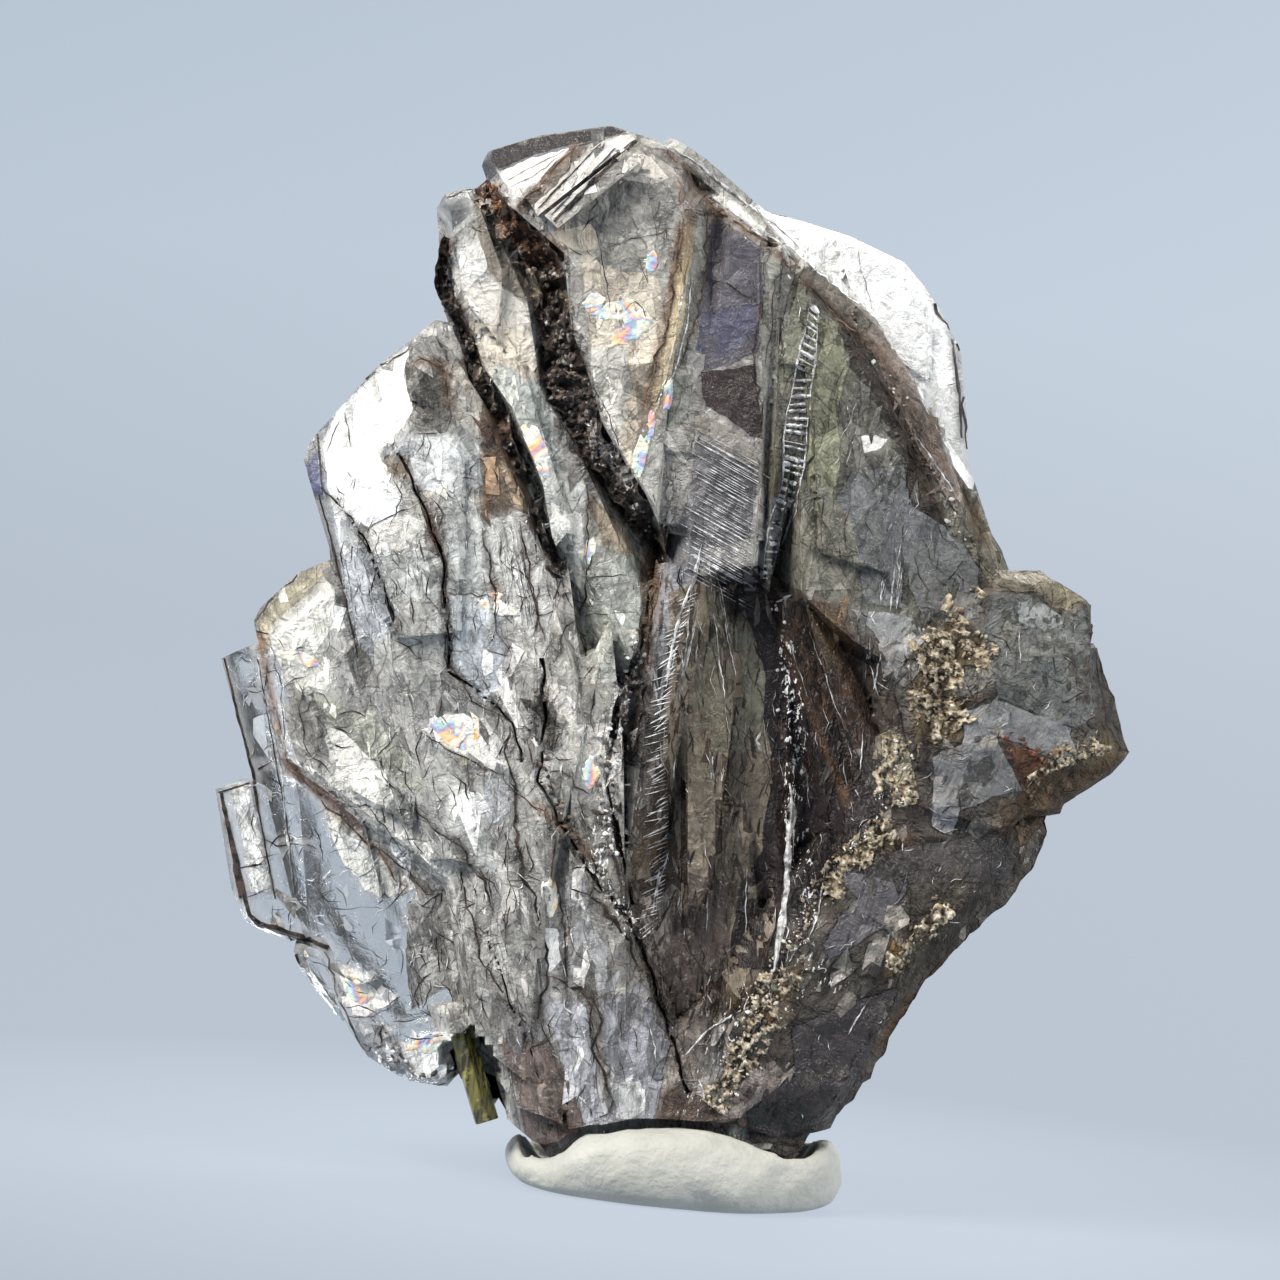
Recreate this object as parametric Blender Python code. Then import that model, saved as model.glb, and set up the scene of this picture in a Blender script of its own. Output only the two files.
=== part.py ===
"""Axinite crystal cluster standing on a lump of mounting putty.

Wedge-edged axinite blades grew side by side into a flat fan, with a broken massive lobe at the right and
the foot. They share one solid. A small epidote prism sits in a pocket at the lower left. The cluster's own
frame has X to the right, Y away from its front and Z up, in millimetres. An empty leans that frame a little
to the left, as the putty holds it, and its foot stands in a socket in the putty.
"""
import math
import random

import bmesh
import bpy
from mathutils import Vector

MM = 0.001

# How the putty holds the cluster
LEAN = math.radians(-5.5)         # turn about Y: the top goes to the left
PUTTY_UNDER_ORIGIN = 0.39 * MM    # height of the cluster frame's origin over the putty's flat bottom
CLUSTER_SHIFT = -0.89 * MM        # sideways place of that origin from the middle of the putty

# The putty lump
PUTTY_WIDTH = 10.6
PUTTY_DEPTH = 7.8
PUTTY_TOP = [(-5.1, 1.6), (-3.9, 1.3), (-2.5, 2.05), (-1.0, 2.35), (0.9, 2.45), (2.8, 2.1), (4.0, 2.0), (5.1, 2.6)]
PUTTY_SIDES = 44
PUTTY_GAP = 0.3                   # clearance between the cluster and the putty

# The foot that stands in the socket
FOOT_OUTLINE = [(-2.8, 0.8), (-3.3, 1.5), (-3.9, 3.0), (6.0, 3.0), (5.5, 1.7), (4.7, 0.6), (1.0, 0.5)]
FOOT_FRONT = -2.0
FOOT_BACK = 2.1

# The epidote prism
EPIDOTE_BASE = Vector((-4.75, -1.3, 1.95))
EPIDOTE_TOP = Vector((-5.75, -1.0, 5.3))
EPIDOTE_WIDTH = 1.0
EPIDOTE_POCKET_GAP = 0.25

# Growth, fracture and fissures
GROOVE_TOP = -5.0                 # a groove cutter starts this far in front of the blades
WEDGE_INSET = 0.13                # an edge with no bevel of its own is wedged by these shares of the thickness
WEDGE_DROP = 0.3
WEDGE_LARGEST_INSET = 0.5
CHIP_SEED = 11
CORNER_MERGE = 5e-6               # corners of one crystal closer than this are one corner, in metres
FLAT_ANGLE = math.radians(0.2)    # neighbouring faces this nearly parallel are one face

# Wedge-edged blades: name, outline seen from the front, front and back depth, slope of the faces to the
# right and upwards, then bevels as (edge, inset, drop), with the edge counted along the outline.
FRONT_BLADES = [
    ("rear_left_blade",
     [(-13.3, 12.2), (-12.5, 12.5), (-6.5, 12.8), (-6.2, 7.2), (-10.7, 7.4), (-11.7, 7.7), (-12.4, 8.1), (-12.8, 9.1)],
     -0.3, 1.1, (0.03, 0.02), [(7, 0.55, 0.5), (6, 0.35, 0.5), (0, 0.3, 0.35)]),
    ("left_blade",
     [(-13.1, 16.3), (-12.2, 16.7), (-6.5, 16.9), (-3.8, 9.4), (-4.4, 3.8), (-8.4, 3.8), (-9.5, 5.9), (-10.7, 7.5)],
     -1.1, 1.7, (-0.02, 0.03), [(7, 1.3, 0.9), (0, 0.35, 0.4)]),
    ("lower_left_blade",
     [(-12.0, 17.5), (-11.8, 17.9), (-10.6, 19.0), (-9.6, 19.4), (-6.0, 19.4), (-3.8, 15.0), (-3.4, 6.9), (-6.2, 9.2),
      (-9.4, 11.9), (-10.9, 13.1)],
     -1.9, 1.2, (-0.04, 0.02), [(9, 0.6, 0.6), (8, 0.35, 0.5), (7, 0.35, 0.45), (1, 1.1, 0.7), (2, 1.1, 0.8)]),
    ("upper_left_blade",
     [(-10.4, 22.5), (-10.2, 23.1), (-9.2, 24.2), (-8.1, 25.4), (-6.3, 26.8), (-5.3, 26.6), (-2.5, 19.4), (-1.2, 14.4),
      (-2.5, 8.8), (-6.6, 10.0), (-8.6, 16.4)],
     -2.7, 0.8, (-0.05, 0.01), [(10, 0.95, 0.9), (1, 0.8, 1.0), (2, 2.4, 1.3), (3, 1.6, 1.1)]),
    ("second_spire_top",
     [(-6.3, 30.3), (-6.0, 30.7), (-5.1, 30.9), (-4.2, 30.2), (-3.0, 27.5), (-2.6, 25.0), (-2.5, 22.8), (-4.1, 23.2),
      (-5.6, 25.9), (-6.1, 27.2), (-6.2, 28.8)],
     -2.2, 1.5, (-0.08, 0.05), [(10, 0.4, 0.5), (0, 0.5, 0.6), (1, 0.6, 0.6), (8, 0.3, 0.6)]),
    ("second_spire",
     [(-5.7, 26.1), (-3.0, 26.4), (-1.5, 23.1), (0.7, 19.8), (0.3, 15.4), (-1.2, 15.4), (-2.5, 18.4), (-3.4, 21.6)],
     -2.5, 1.3, (0.03, 0.02), [(7, 0.4, 0.5)]),
    ("main_spire",
     [(-4.9, 31.6), (-4.7, 32.0), (-3.1, 32.5), (-0.9, 32.8), (0.5, 32.3), (1.6, 31.5), (2.0, 30.2), (1.7, 26.9),
      (1.1, 21.9), (0.8, 19.6), (-1.2, 22.8), (-2.9, 25.9), (-3.9, 28.9)],
     -3.0, 2.2, (-0.04, 0.03), [(2, 1.6, 1.5), (1, 0.7, 0.9), (3, 1.2, 0.9), (4, 0.7, 0.6)]),
    ("violet_column",
     [(1.6, 30.5), (2.3, 30.9), (4.1, 29.6), (4.3, 23.4), (3.9, 18.7), (1.9, 18.4), (0.5, 19.0), (1.2, 23.1)],
     -2.85, 1.8, (0.0, 0.02), [(1, 0.8, 0.9)]),
    ("left_striated_edge",
     [(1.5, 30.3), (2.0, 30.2), (1.1, 22.2), (0.6, 20.1), (-0.2, 21.2), (0.3, 23.4)],
     -3.25, 0.6, (-0.1, 0.02), [(0, 0.2, 0.3)]),
    ("right_striated_edge",
     [(3.9, 29.6), (4.6, 28.9), (4.5, 23.4), (4.0, 18.4), (3.5, 18.8), (3.8, 23.4)],
     -3.2, 0.6, (0.08, 0.02), [(0, 0.3, 0.4)]),
    ("ladder_edge",
     [(5.0, 27.6), (5.5, 27.3), (5.2, 24.4), (4.6, 21.1), (4.0, 18.6), (3.6, 18.9), (4.2, 21.9), (4.7, 24.7)],
     -3.15, 0.4, (0.25, 0.02), [(0, 0.2, 0.3)]),
    ("right_flank",
     [(4.0, 29.5), (5.9, 28.1), (8.3, 25.2), (10.0, 22.2), (11.2, 19.1), (9.7, 16.4), (8.3, 15.2), (6.3, 16.5),
      (4.7, 17.9), (3.9, 18.7), (4.3, 23.4)],
     -2.2, 2.4, (0.24, 0.05), [(0, 0.5, 0.6), (1, 0.9, 0.7), (2, 0.8, 0.7), (5, 0.6, 0.6)]),
    ("rear_white_blade",
     [(3.5, 30.4), (5.0, 30.0), (6.6, 29.5), (8.3, 28.7), (8.9, 28.0), (9.5, 27.1), (10.1, 25.9), (10.3, 24.1),
      (10.4, 22.0), (8.1, 21.0), (5.0, 25.0), (3.0, 28.8)],
     0.5, 2.6, (0.06, -0.08), [(5, 0.35, 0.6), (6, 0.3, 0.6), (7, 0.3, 0.6), (4, 0.3, 0.5)]),
]

# Crystals that show only at the back, written in the same way
BACK_BLADES = [
    ("back_main_blade",
     [(-5.2, 28.4), (-3.0, 31.2), (-0.6, 32.2), (1.4, 31.0), (2.6, 26.0), (1.8, 16.0), (-2.4, 13.0), (-4.8, 20.0)],
     0.6, 3.4, (0.05, -0.05), [(0, 1.0, 1.2), (1, 1.2, 1.4), (2, 0.8, 0.9), (6, 0.7, 0.8)]),
    ("back_left_blade",
     [(-9.9, 21.6), (-8.0, 24.6), (-5.2, 25.4), (-2.8, 19.0), (-3.4, 10.4), (-7.2, 9.4), (-9.4, 15.4)],
     0.3, 2.6, (0.1, 0.02), [(0, 0.8, 0.9), (1, 1.2, 1.0), (6, 0.5, 0.7)]),
    ("back_lower_left_blade",
     [(-11.8, 15.2), (-10.2, 17.8), (-6.4, 18.4), (-3.4, 10.4), (-4.4, 4.8), (-7.6, 4.9), (-10.4, 8.8)],
     0.9, 2.7, (0.08, 0.06), [(0, 0.8, 0.8), (6, 0.9, 0.8), (5, 0.5, 0.6)]),
    ("back_right_blade",
     [(1.2, 27.8), (4.4, 28.9), (8.0, 26.6), (9.6, 22.4), (9.2, 16.6), (4.6, 13.4), (1.4, 18.0)],
     1.2, 3.6, (-0.08, -0.06), [(1, 1.2, 1.0), (2, 0.8, 0.9), (4, 0.9, 0.8)]),
    ("back_centre_blade",
     [(-2.9, 21.8), (0.4, 23.6), (3.6, 20.8), (4.4, 11.0), (3.0, 3.4), (-1.8, 3.2), (-3.8, 9.6)],
     1.0, 4.1, (0.04, 0.03), [(0, 1.2, 1.0), (1, 1.4, 1.2), (6, 1.0, 1.0)]),
    ("back_foot_blade",
     [(-4.9, 10.8), (-1.4, 12.6), (0.6, 8.0), (0.4, 2.6), (-3.2, 2.5), (-4.7, 4.4)],
     1.0, 3.4, (0.06, 0.05), [(0, 0.8, 0.9), (5, 0.7, 0.8)]),
    ("back_step_blade",
     [(-1.8, 27.2), (0.2, 28.6), (1.2, 25.6), (0.6, 18.8), (-1.4, 18.6), (-2.2, 22.4)],
     2.4, 4.1, (0.0, 0.04), [(0, 0.6, 0.7), (1, 0.5, 0.7)]),
]

# Slender crystals of the fan's middle, lit edges over the dark hollow
COLUMNS = [
    ("mid_stave_1", [(-4.6, 21.0), (-3.4, 20.8), (-2.9, 10.0), (-3.5, 3.4), (-5.0, 4.6), (-5.7, 10.0), (-4.9, 16.0)],
     -2.9, 0.5, (-0.06, 0.01), [(6, 0.3, 0.4)]),
    ("mid_stave_2", [(-3.3, 17.4), (-2.2, 19.2), (-1.6, 14.6), (-1.8, 6.4), (-2.4, 2.1), (-3.8, 2.6), (-3.4, 10.0)],
     -2.65, 0.6, (0.05, 0.02), [(0, 0.4, 0.4)]),
    ("mid_stave_3", [(-2.0, 15.4), (-0.9, 17.6), (-0.5, 13.6), (-1.0, 7.0), (-0.4, 2.2), (-2.2, 1.9), (-2.2, 9.0)],
     -2.85, 0.6, (0.03, -0.01), [(0, 0.35, 0.4)]),
    ("foot_stave", [(-1.3, 9.0), (0.0, 9.4), (1.2, 5.0), (1.6, 1.9), (-1.2, 1.8), (-1.6, 4.4)],
     -2.7, 0.8, (0.05, 0.04), [(0, 0.4, 0.5), (1, 0.3, 0.3)]),
    ("hollow_edge_1", [(0.5, 19.4), (2.3, 19.0), (1.2, 14.0), (0.7, 6.4), (-0.3, 6.2), (-0.4, 13.0)],
     -2.7, 0.8, (-0.1, 0.0), [(1, 0.4, 0.5), (5, 0.4, 0.5)]),
    ("hollow_edge_2", [(1.7, 18.6), (2.9, 18.6), (3.0, 15.4), (2.2, 9.4), (1.5, 8.0), (1.4, 13.4)],
     -2.2, 0.6, (0.05, 0.01), [(1, 0.35, 0.5)]),
    ("hollow_bar_1", [(3.9, 18.6), (4.9, 18.4), (6.5, 14.4), (6.6, 11.4), (5.6, 11.0), (4.8, 14.8)],
     -1.9, 0.8, (0.1, 0.0), [(0, 0.3, 0.4), (4, 0.3, 0.5)]),
    ("hollow_bar_2", [(5.1, 18.0), (6.1, 17.0), (7.8, 13.4), (7.6, 11.2), (6.7, 12.2), (6.0, 15.2)],
     -2.3, 0.8, (0.12, 0.0), [(1, 0.4, 0.5)]),
    ("hollow_ridge", [(4.1, 16.6), (4.7, 16.2), (4.9, 10.6), (4.6, 6.6), (4.0, 7.2), (4.3, 11.4)],
     -2.0, 0.8, (0.0, 0.02), [(1, 0.25, 0.5), (4, 0.25, 0.5)]),
    ("hollow_wall", [(0.7, 12.6), (3.2, 12.4), (3.9, 7.0), (3.0, 2.6), (1.1, 2.2), (0.5, 7.0)],
     -1.8, 0.8, (0.06, 0.03), [(0, 0.6, 0.5), (2, 0.5, 0.5)]),
]

# Thin ledges left by growth on the faces of the larger blades
GROWTH_STEPS = [
    ("top_step_1", [(-3.5, 30.5), (-1.1, 32.2), (-0.6, 31.9), (-3.1, 29.9)], -3.35, -1.0, (-0.08, 0.16), []),
    ("top_step_2", [(-2.9, 29.9), (-0.4, 31.9), (0.0, 31.5), (-2.5, 29.5)], -3.5, -1.0, (-0.05, 0.14), []),
    ("spire_step", [(-0.9, 29.2), (1.2, 29.8), (1.0, 24.0), (0.6, 21.6), (-0.6, 23.0)], -3.12, -1.0, (0.0, 0.01),
     [(4, 0.15, 0.12)]),
    ("second_spire_step", [(-4.6, 26.0), (-3.6, 25.4), (-2.1, 20.4), (-2.6, 19.8), (-3.6, 22.6)], -2.75, -1.0,
     (0.1, 0.05), [(4, 0.15, 0.2)]),
    ("second_top_step", [(-5.7, 29.6), (-4.9, 30.2), (-4.2, 28.2), (-4.4, 26.2), (-5.4, 27.4)], -2.6, -1.0,
     (0.1, 0.0), [(0, 0.2, 0.2)]),
    ("upper_left_step", [(-8.7, 20.6), (-6.9, 24.0), (-5.4, 22.6), (-5.6, 17.2), (-7.4, 17.0)], -2.95, -1.0,
     (-0.03, 0.03), [(0, 0.15, 0.15)]),
    ("upper_left_dent_rim", [(-7.1, 25.9), (-6.3, 26.3), (-5.4, 24.4), (-5.9, 23.4), (-7.0, 24.4)], -2.6, -1.0,
     (0.12, 0.1), [(3, 0.2, 0.2)]),
    ("lower_left_step", [(-10.2, 15.6), (-8.2, 17.6), (-6.6, 15.6), (-7.0, 11.2), (-9.0, 12.4)], -2.12, -1.0,
     (-0.05, 0.04), [(0, 0.15, 0.15)]),
    ("left_step", [(-10.6, 12.4), (-8.6, 11.4), (-7.4, 6.6), (-8.8, 6.2), (-10.3, 8.4)], -1.35, 0.0, (0.0, 0.04), []),
    ("flank_step_1", [(4.9, 26.9), (6.6, 26.2), (8.4, 23.0), (7.6, 19.0), (5.6, 19.6)], -2.55, 0.0, (0.2, 0.03),
     [(1, 0.25, 0.2), (2, 0.25, 0.2)]),
    ("flank_step_2", [(7.4, 23.4), (8.6, 22.6), (9.6, 20.0), (8.8, 17.4), (7.6, 18.6)], -2.0, 0.0, (0.32, 0.0),
     [(0, 0.2, 0.2)]),
    ("rear_white_step", [(6.1, 29.4), (7.9, 28.6), (9.1, 26.6), (9.0, 25.0), (7.0, 26.4)], 0.25, 2.0, (0.1, -0.1), []),
    ("back_left_step", [(-8.8, 20.2), (-7.2, 22.8), (-5.4, 21.4), (-6.0, 15.0), (-8.2, 14.6)], 1.0, 2.9, (0.1, 0.02),
     [(0, 0.2, 0.2)]),
    ("back_right_step", [(2.8, 26.4), (5.2, 26.6), (7.6, 23.6), (7.0, 19.4), (3.6, 19.0)], 2.0, 3.95, (-0.1, -0.04),
     [(1, 0.2, 0.2)]),
    ("back_centre_step", [(-1.8, 18.0), (0.6, 19.4), (2.2, 15.4), (1.4, 8.4), (-1.4, 8.0)], 2.0, 4.4, (0.05, 0.02),
     [(0, 0.2, 0.2)]),
]

# Broken masses: name, outline, front and back depth, slope, then how many chips and how deep they bite
BROKEN_MASSES = [
    ("hollow_floor",
     [(0.5, 19.6), (3.9, 19.0), (9.2, 15.8), (9.4, 12.2), (6.6, 8.8), (3.8, 1.6), (0.0, 1.2), (-1.6, 5.6), (-1.2, 15.0)],
     -1.4, 3.2, (0.0, 0.0), 10, 0.25),
    ("foot_mass",
     [(-6.2, 10.2), (-3.4, 13.0), (0.6, 12.6), (1.8, 4.6), (2.3, 1.1), (-2.9, 1.1), (-4.2, 2.2), (-5.1, 3.8)],
     -2.3, 2.6, (0.02, 0.03), 12, 0.3),
    ("lobe_upper",
     [(9.2, 18.0), (11.2, 19.2), (12.5, 19.0), (14.1, 18.0), (14.4, 16.5), (13.2, 13.0), (10.2, 12.2), (8.2, 14.4)],
     -2.1, 3.0, (0.10, 0.09), 26, 0.5),
    ("lobe_point",
     [(11.0, 16.6), (14.2, 16.8), (14.7, 14.6), (15.3, 13.4), (14.9, 12.8), (12.8, 11.2), (10.6, 11.4)],
     -2.0, 2.3, (0.28, -0.05), 18, 0.3),
    ("lobe_brow",
     [(9.4, 17.4), (12.2, 18.0), (14.2, 17.4), (13.6, 15.6), (10.4, 15.0)],
     -2.2, 2.0, (0.02, 0.28), 18, 0.4),
    ("lobe_front",
     [(7.8, 16.0), (10.6, 16.8), (13.2, 15.0), (13.6, 12.4), (11.6, 10.2), (8.6, 10.0), (7.2, 12.2)],
     -2.75, 1.5, (0.16, -0.1), 30, 0.55),
    ("lobe_lower",
     [(6.0, 12.8), (9.2, 13.6), (13.3, 11.8), (12.7, 10.4), (11.5, 8.6), (10.1, 8.0), (8.3, 5.4), (5.6, 6.6)],
     -2.6, 3.3, (0.13, 0.1), 30, 0.5),
    ("lobe_foot",
     [(4.4, 9.4), (8.2, 9.8), (9.9, 7.8), (8.5, 5.0), (6.7, 2.4), (5.7, 1.1), (2.4, 1.1), (1.8, 4.0)],
     -2.65, 2.9, (0.1, -0.06), 30, 0.5),
    ("lobe_shoulder",
     [(8.4, 19.4), (10.7, 20.6), (11.9, 18.8), (11.0, 16.0), (8.4, 15.6)],
     -1.6, 2.6, (0.22, 0.03), 18, 0.4),
    ("crust_ridge",
     [(7.1, 16.6), (8.8, 18.0), (10.8, 17.6), (10.2, 14.9), (9.2, 12.2), (7.3, 12.0)],
     -2.7, 1.0, (0.26, 0.05), 26, 0.45),
    ("crust_heel",
     [(4.6, 10.0), (6.4, 11.8), (7.8, 11.0), (6.2, 7.8), (3.6, 3.6), (1.6, 4.2), (2.8, 6.8)],
     -2.6, 1.0, (-0.06, 0.08), 24, 0.4),
    ("crust_foot",
     [(0.6, 4.6), (2.4, 6.4), (4.0, 5.0), (3.6, 2.0), (1.0, 1.7)],
     -2.75, 0.8, (0.12, 0.05), 18, 0.35),
    ("heel_knob",
     [(6.4, 8.8), (8.4, 9.4), (9.2, 7.6), (7.8, 5.8), (6.2, 6.6)],
     -3.0, 0.8, (0.2, -0.12), 20, 0.4),
    ("top_crest_1", [(0.4, 31.9), (0.9, 32.5), (2.0, 31.8), (3.5, 30.5), (3.0, 29.8), (1.6, 31.0)],
     -1.8, 1.4, (0.05, 0.0), 14, 0.22),
    ("top_crest_2", [(2.9, 30.2), (3.6, 30.4), (5.1, 29.0), (6.0, 28.1), (5.6, 27.5), (4.2, 28.5)],
     -1.9, 1.2, (0.15, 0.0), 14, 0.22),
    ("flank_crest_1", [(5.4, 28.3), (6.0, 28.3), (7.6, 26.5), (7.4, 25.6), (6.2, 26.6)],
     -1.5, 1.3, (0.2, 0.0), 14, 0.22),
    ("flank_crest_2", [(6.9, 27.0), (7.6, 26.4), (8.9, 24.4), (8.6, 23.4), (7.4, 25.2)],
     -1.1, 1.6, (0.2, 0.0), 14, 0.22),
    ("flank_crest_3", [(8.4, 25.0), (9.3, 23.6), (10.5, 21.6), (10.1, 20.6), (8.9, 22.6)],
     -0.8, 1.8, (0.15, 0.0), 14, 0.22),
    ("flank_crest_4", [(9.8, 22.8), (10.4, 21.9), (11.3, 19.2), (10.7, 18.6), (9.8, 20.8)],
     -0.6, 2.0, (0.12, 0.0), 14, 0.22),
    ("back_lobe",
     [(6.4, 19.0), (10.4, 19.4), (12.6, 16.4), (12.4, 11.6), (9.0, 7.4), (5.4, 9.0), (5.0, 15.0)],
     0.8, 3.8, (-0.16, 0.1), 34, 0.5),
    ("back_lobe_ridge",
     [(7.0, 16.8), (9.4, 17.6), (10.2, 14.0), (8.8, 10.0), (6.4, 10.4), (6.2, 13.6)],
     0.8, 4.2, (0.12, -0.06), 24, 0.5),
    ("back_lobe_foot",
     [(3.0, 9.6), (6.8, 10.2), (8.6, 7.4), (6.6, 3.2), (3.4, 2.2), (1.4, 4.8)],
     0.8, 3.8, (-0.12, 0.12), 26, 0.45),
    ("left_shards_1", [(-10.9, 7.5), (-9.9, 7.2), (-9.0, 5.6), (-9.3, 4.9), (-9.9, 5.8), (-10.6, 6.6)],
     -0.8, 1.3, (0.0, 0.0), 12, 0.15),
    ("left_shards_2", [(-9.6, 5.9), (-8.0, 5.6), (-6.8, 4.2), (-7.4, 3.3), (-8.5, 3.9), (-9.1, 4.7)],
     -1.3, 1.0, (0.0, 0.0), 14, 0.2),
    ("left_shards_3", [(-8.2, 4.9), (-6.2, 5.4), (-5.3, 3.7), (-6.0, 3.0), (-7.2, 3.2)],
     -1.5, 1.4, (0.0, 0.0), 14, 0.2),
    ("left_shards_4", [(-6.6, 5.6), (-4.8, 5.8), (-4.2, 2.9), (-4.6, 2.3), (-5.6, 3.2)],
     -1.9, 1.8, (0.0, 0.0), 14, 0.2),
]

# Iron-stained fissures: points along each as (x, z, width), then how deep in Y the groove reaches
FISSURES = [
    ("main_fissure",
     [(-4.9, 31.2, 0.3), (-4.3, 30.1, 0.8), (-3.6, 29.3, 1.1), (-2.8, 28.5, 1.3), (-2.6, 27.6, 0.9), (-2.6, 26.4, 1.2),
      (-2.3, 25.2, 1.5), (-1.9, 24.3, 1.3), (-1.5, 23.4, 0.9), (-0.8, 22.2, 0.9), (-0.1, 21.2, 0.8), (0.5, 20.1, 0.6),
      (0.7, 19.3, 0.3)], -1.3),
    ("second_fissure",
     [(-6.2, 28.3, 0.3), (-6.0, 27.3, 0.5), (-5.3, 26.1, 0.6), (-5.0, 25.1, 0.7), (-4.2, 23.9, 0.8), (-3.8, 22.9, 0.75),
      (-3.2, 21.6, 0.6), (-2.9, 20.1, 0.5), (-2.4, 19.0, 0.3)], -1.4),
    ("third_fissure",
     [(-7.4, 22.7, 0.2), (-7.0, 21.9, 0.3), (-6.5, 20.9, 0.3), (-6.0, 19.3, 0.25), (-6.0, 17.8, 0.2), (-5.8, 16.0, 0.3),
      (-4.7, 15.2, 0.3), (-3.9, 14.4, 0.25), (-3.6, 13.2, 0.2)], -1.9),
    ("upper_left_crack",
     [(-9.5, 21.6, 0.15), (-8.5, 20.1, 0.25), (-8.0, 18.9, 0.25), (-7.5, 17.5, 0.15)], -2.1),
    ("middle_crack",
     [(-3.0, 16.4, 0.2), (-2.9, 14.6, 0.4), (-3.1, 12.6, 0.35), (-2.4, 11.2, 0.35), (-1.3, 9.4, 0.35), (-0.3, 8.4, 0.35),
      (0.4, 6.4, 0.3), (1.0, 4.6, 0.3), (1.5, 3.0, 0.2)], -1.7),
    ("hollow_crack",
     [(0.3, 18.6, 0.2), (0.1, 17.0, 0.3), (-0.7, 14.8, 0.3), (-1.0, 12.8, 0.3), (-0.6, 10.4, 0.25), (-0.2, 8.8, 0.2)],
     -1.5),
    ("foot_crack",
     [(-4.7, 8.0, 0.2), (-4.1, 6.0, 0.25), (-3.4, 4.4, 0.25), (-2.9, 2.9, 0.2)], -1.7),
]


def new_object(name, bm, holder=None):
    """Make a mesh object from bm, in the frame of holder. Triangles keep the exact Booleans clean."""
    bmesh.ops.recalc_face_normals(bm, faces=bm.faces)
    bmesh.ops.triangulate(bm, faces=bm.faces)
    mesh = bpy.data.meshes.new(name)
    bm.to_mesh(mesh)
    bm.free()
    piece = bpy.data.objects.new(name, mesh)
    bpy.context.scene.collection.objects.link(piece)
    piece.parent = holder
    return piece


def give_material(piece, name, colour, roughness, alpha=1.0):
    """Give piece a Principled material of its own."""
    material = bpy.data.materials.new(name)
    material.use_nodes = True
    shader = material.node_tree.nodes["Principled BSDF"]
    shader.inputs["Base Color"].default_value = (*colour, 1.0)
    shader.inputs["Roughness"].default_value = roughness
    shader.inputs["Metallic"].default_value = 0.0
    shader.inputs["Alpha"].default_value = alpha
    piece.data.materials.append(material)


def cut_off(bm, point, normal):
    """Cut away what lies beyond a plane of a convex solid, and close the solid again as a hull."""
    whole = bm.verts[:] + bm.edges[:] + bm.faces[:]
    bmesh.ops.bisect_plane(bm, geom=whole, dist=1e-7, plane_co=point, plane_no=normal, clear_outer=True)
    bmesh.ops.delete(bm, geom=bm.edges[:] + bm.faces[:], context="EDGES_FACES")
    bmesh.ops.remove_doubles(bm, verts=bm.verts, dist=CORNER_MERGE)
    hull = bmesh.ops.convex_hull(bm, input=bm.verts)
    inside = {item for item in hull["geom_interior"] + hull["geom_unused"] if isinstance(item, bmesh.types.BMVert)}
    bmesh.ops.delete(bm, geom=list(inside), context="VERTS")
    bmesh.ops.dissolve_limit(bm, angle_limit=FLAT_ANGLE, verts=bm.verts, edges=bm.edges)


def plate(outline, front, back):
    """Return a bmesh of a flat plate, its outline in millimetres seen from the front."""
    bm = bmesh.new()
    corners = [bm.verts.new((x * MM, front * MM, z * MM)) for x, z in outline]
    face = bm.faces.new(corners)
    swept = bmesh.ops.extrude_face_region(bm, geom=[face])
    far_side = [item for item in swept["geom"] if isinstance(item, bmesh.types.BMVert)]
    bmesh.ops.translate(bm, verts=far_side, vec=(0, (back - front) * MM, 0))
    return bm


def bevel_edges(bm, outline, front, back, bevels):
    """Cut a wedge face along edges of a plate, at the front and, shallower, at the back."""
    middle = Vector((sum(x for x, _ in outline), sum(z for _, z in outline))) / len(outline)
    for edge, inset, drop in bevels:
        start = Vector(outline[edge])
        end = Vector(outline[(edge + 1) % len(outline)])
        inward = Vector((end.y - start.y, start.x - end.x)).normalized()
        if inward.dot(middle - start) < 0:
            inward = -inward
        for face_depth, side, reach in ((front, -1, 1.0), (back, 1, 0.7)):
            point = Vector((start.x, face_depth - side * drop * reach, start.y)) * MM
            normal = Vector((-inward.x * drop, side * inset, -inward.y * drop))
            cut_off(bm, point, normal)


def slope_faces(bm, outline, slope):
    """Tilt the front and back faces without moving the outline seen from the front."""
    middle_x = sum(x for x, _ in outline) / len(outline) * MM
    middle_z = sum(z for _, z in outline) / len(outline) * MM
    for vert in bm.verts:
        vert.co.y += (vert.co.x - middle_x) * slope[0] + (vert.co.z - middle_z) * slope[1]


def chip_surface(bm, rng, count, bite):
    """Break small flat chips off a convex solid, in random directions."""
    for _ in range(count):
        direction = Vector((rng.gauss(0, 1), rng.gauss(0, 1.2), rng.gauss(0, 1))).normalized()
        farthest = max(vert.co.dot(direction) for vert in bm.verts)
        cut_off(bm, direction * (farthest - rng.uniform(0.3, 1.0) * bite * MM), direction)


def wedges_for_other_edges(outline, thickness, bevels):
    """Return slight bevels for the edges that have none of their own."""
    inset = min(WEDGE_INSET * thickness, WEDGE_LARGEST_INSET)
    taken = {edge for edge, _, _ in bevels}
    return [(edge, inset, WEDGE_DROP * thickness) for edge in range(len(outline)) if edge not in taken]


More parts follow.
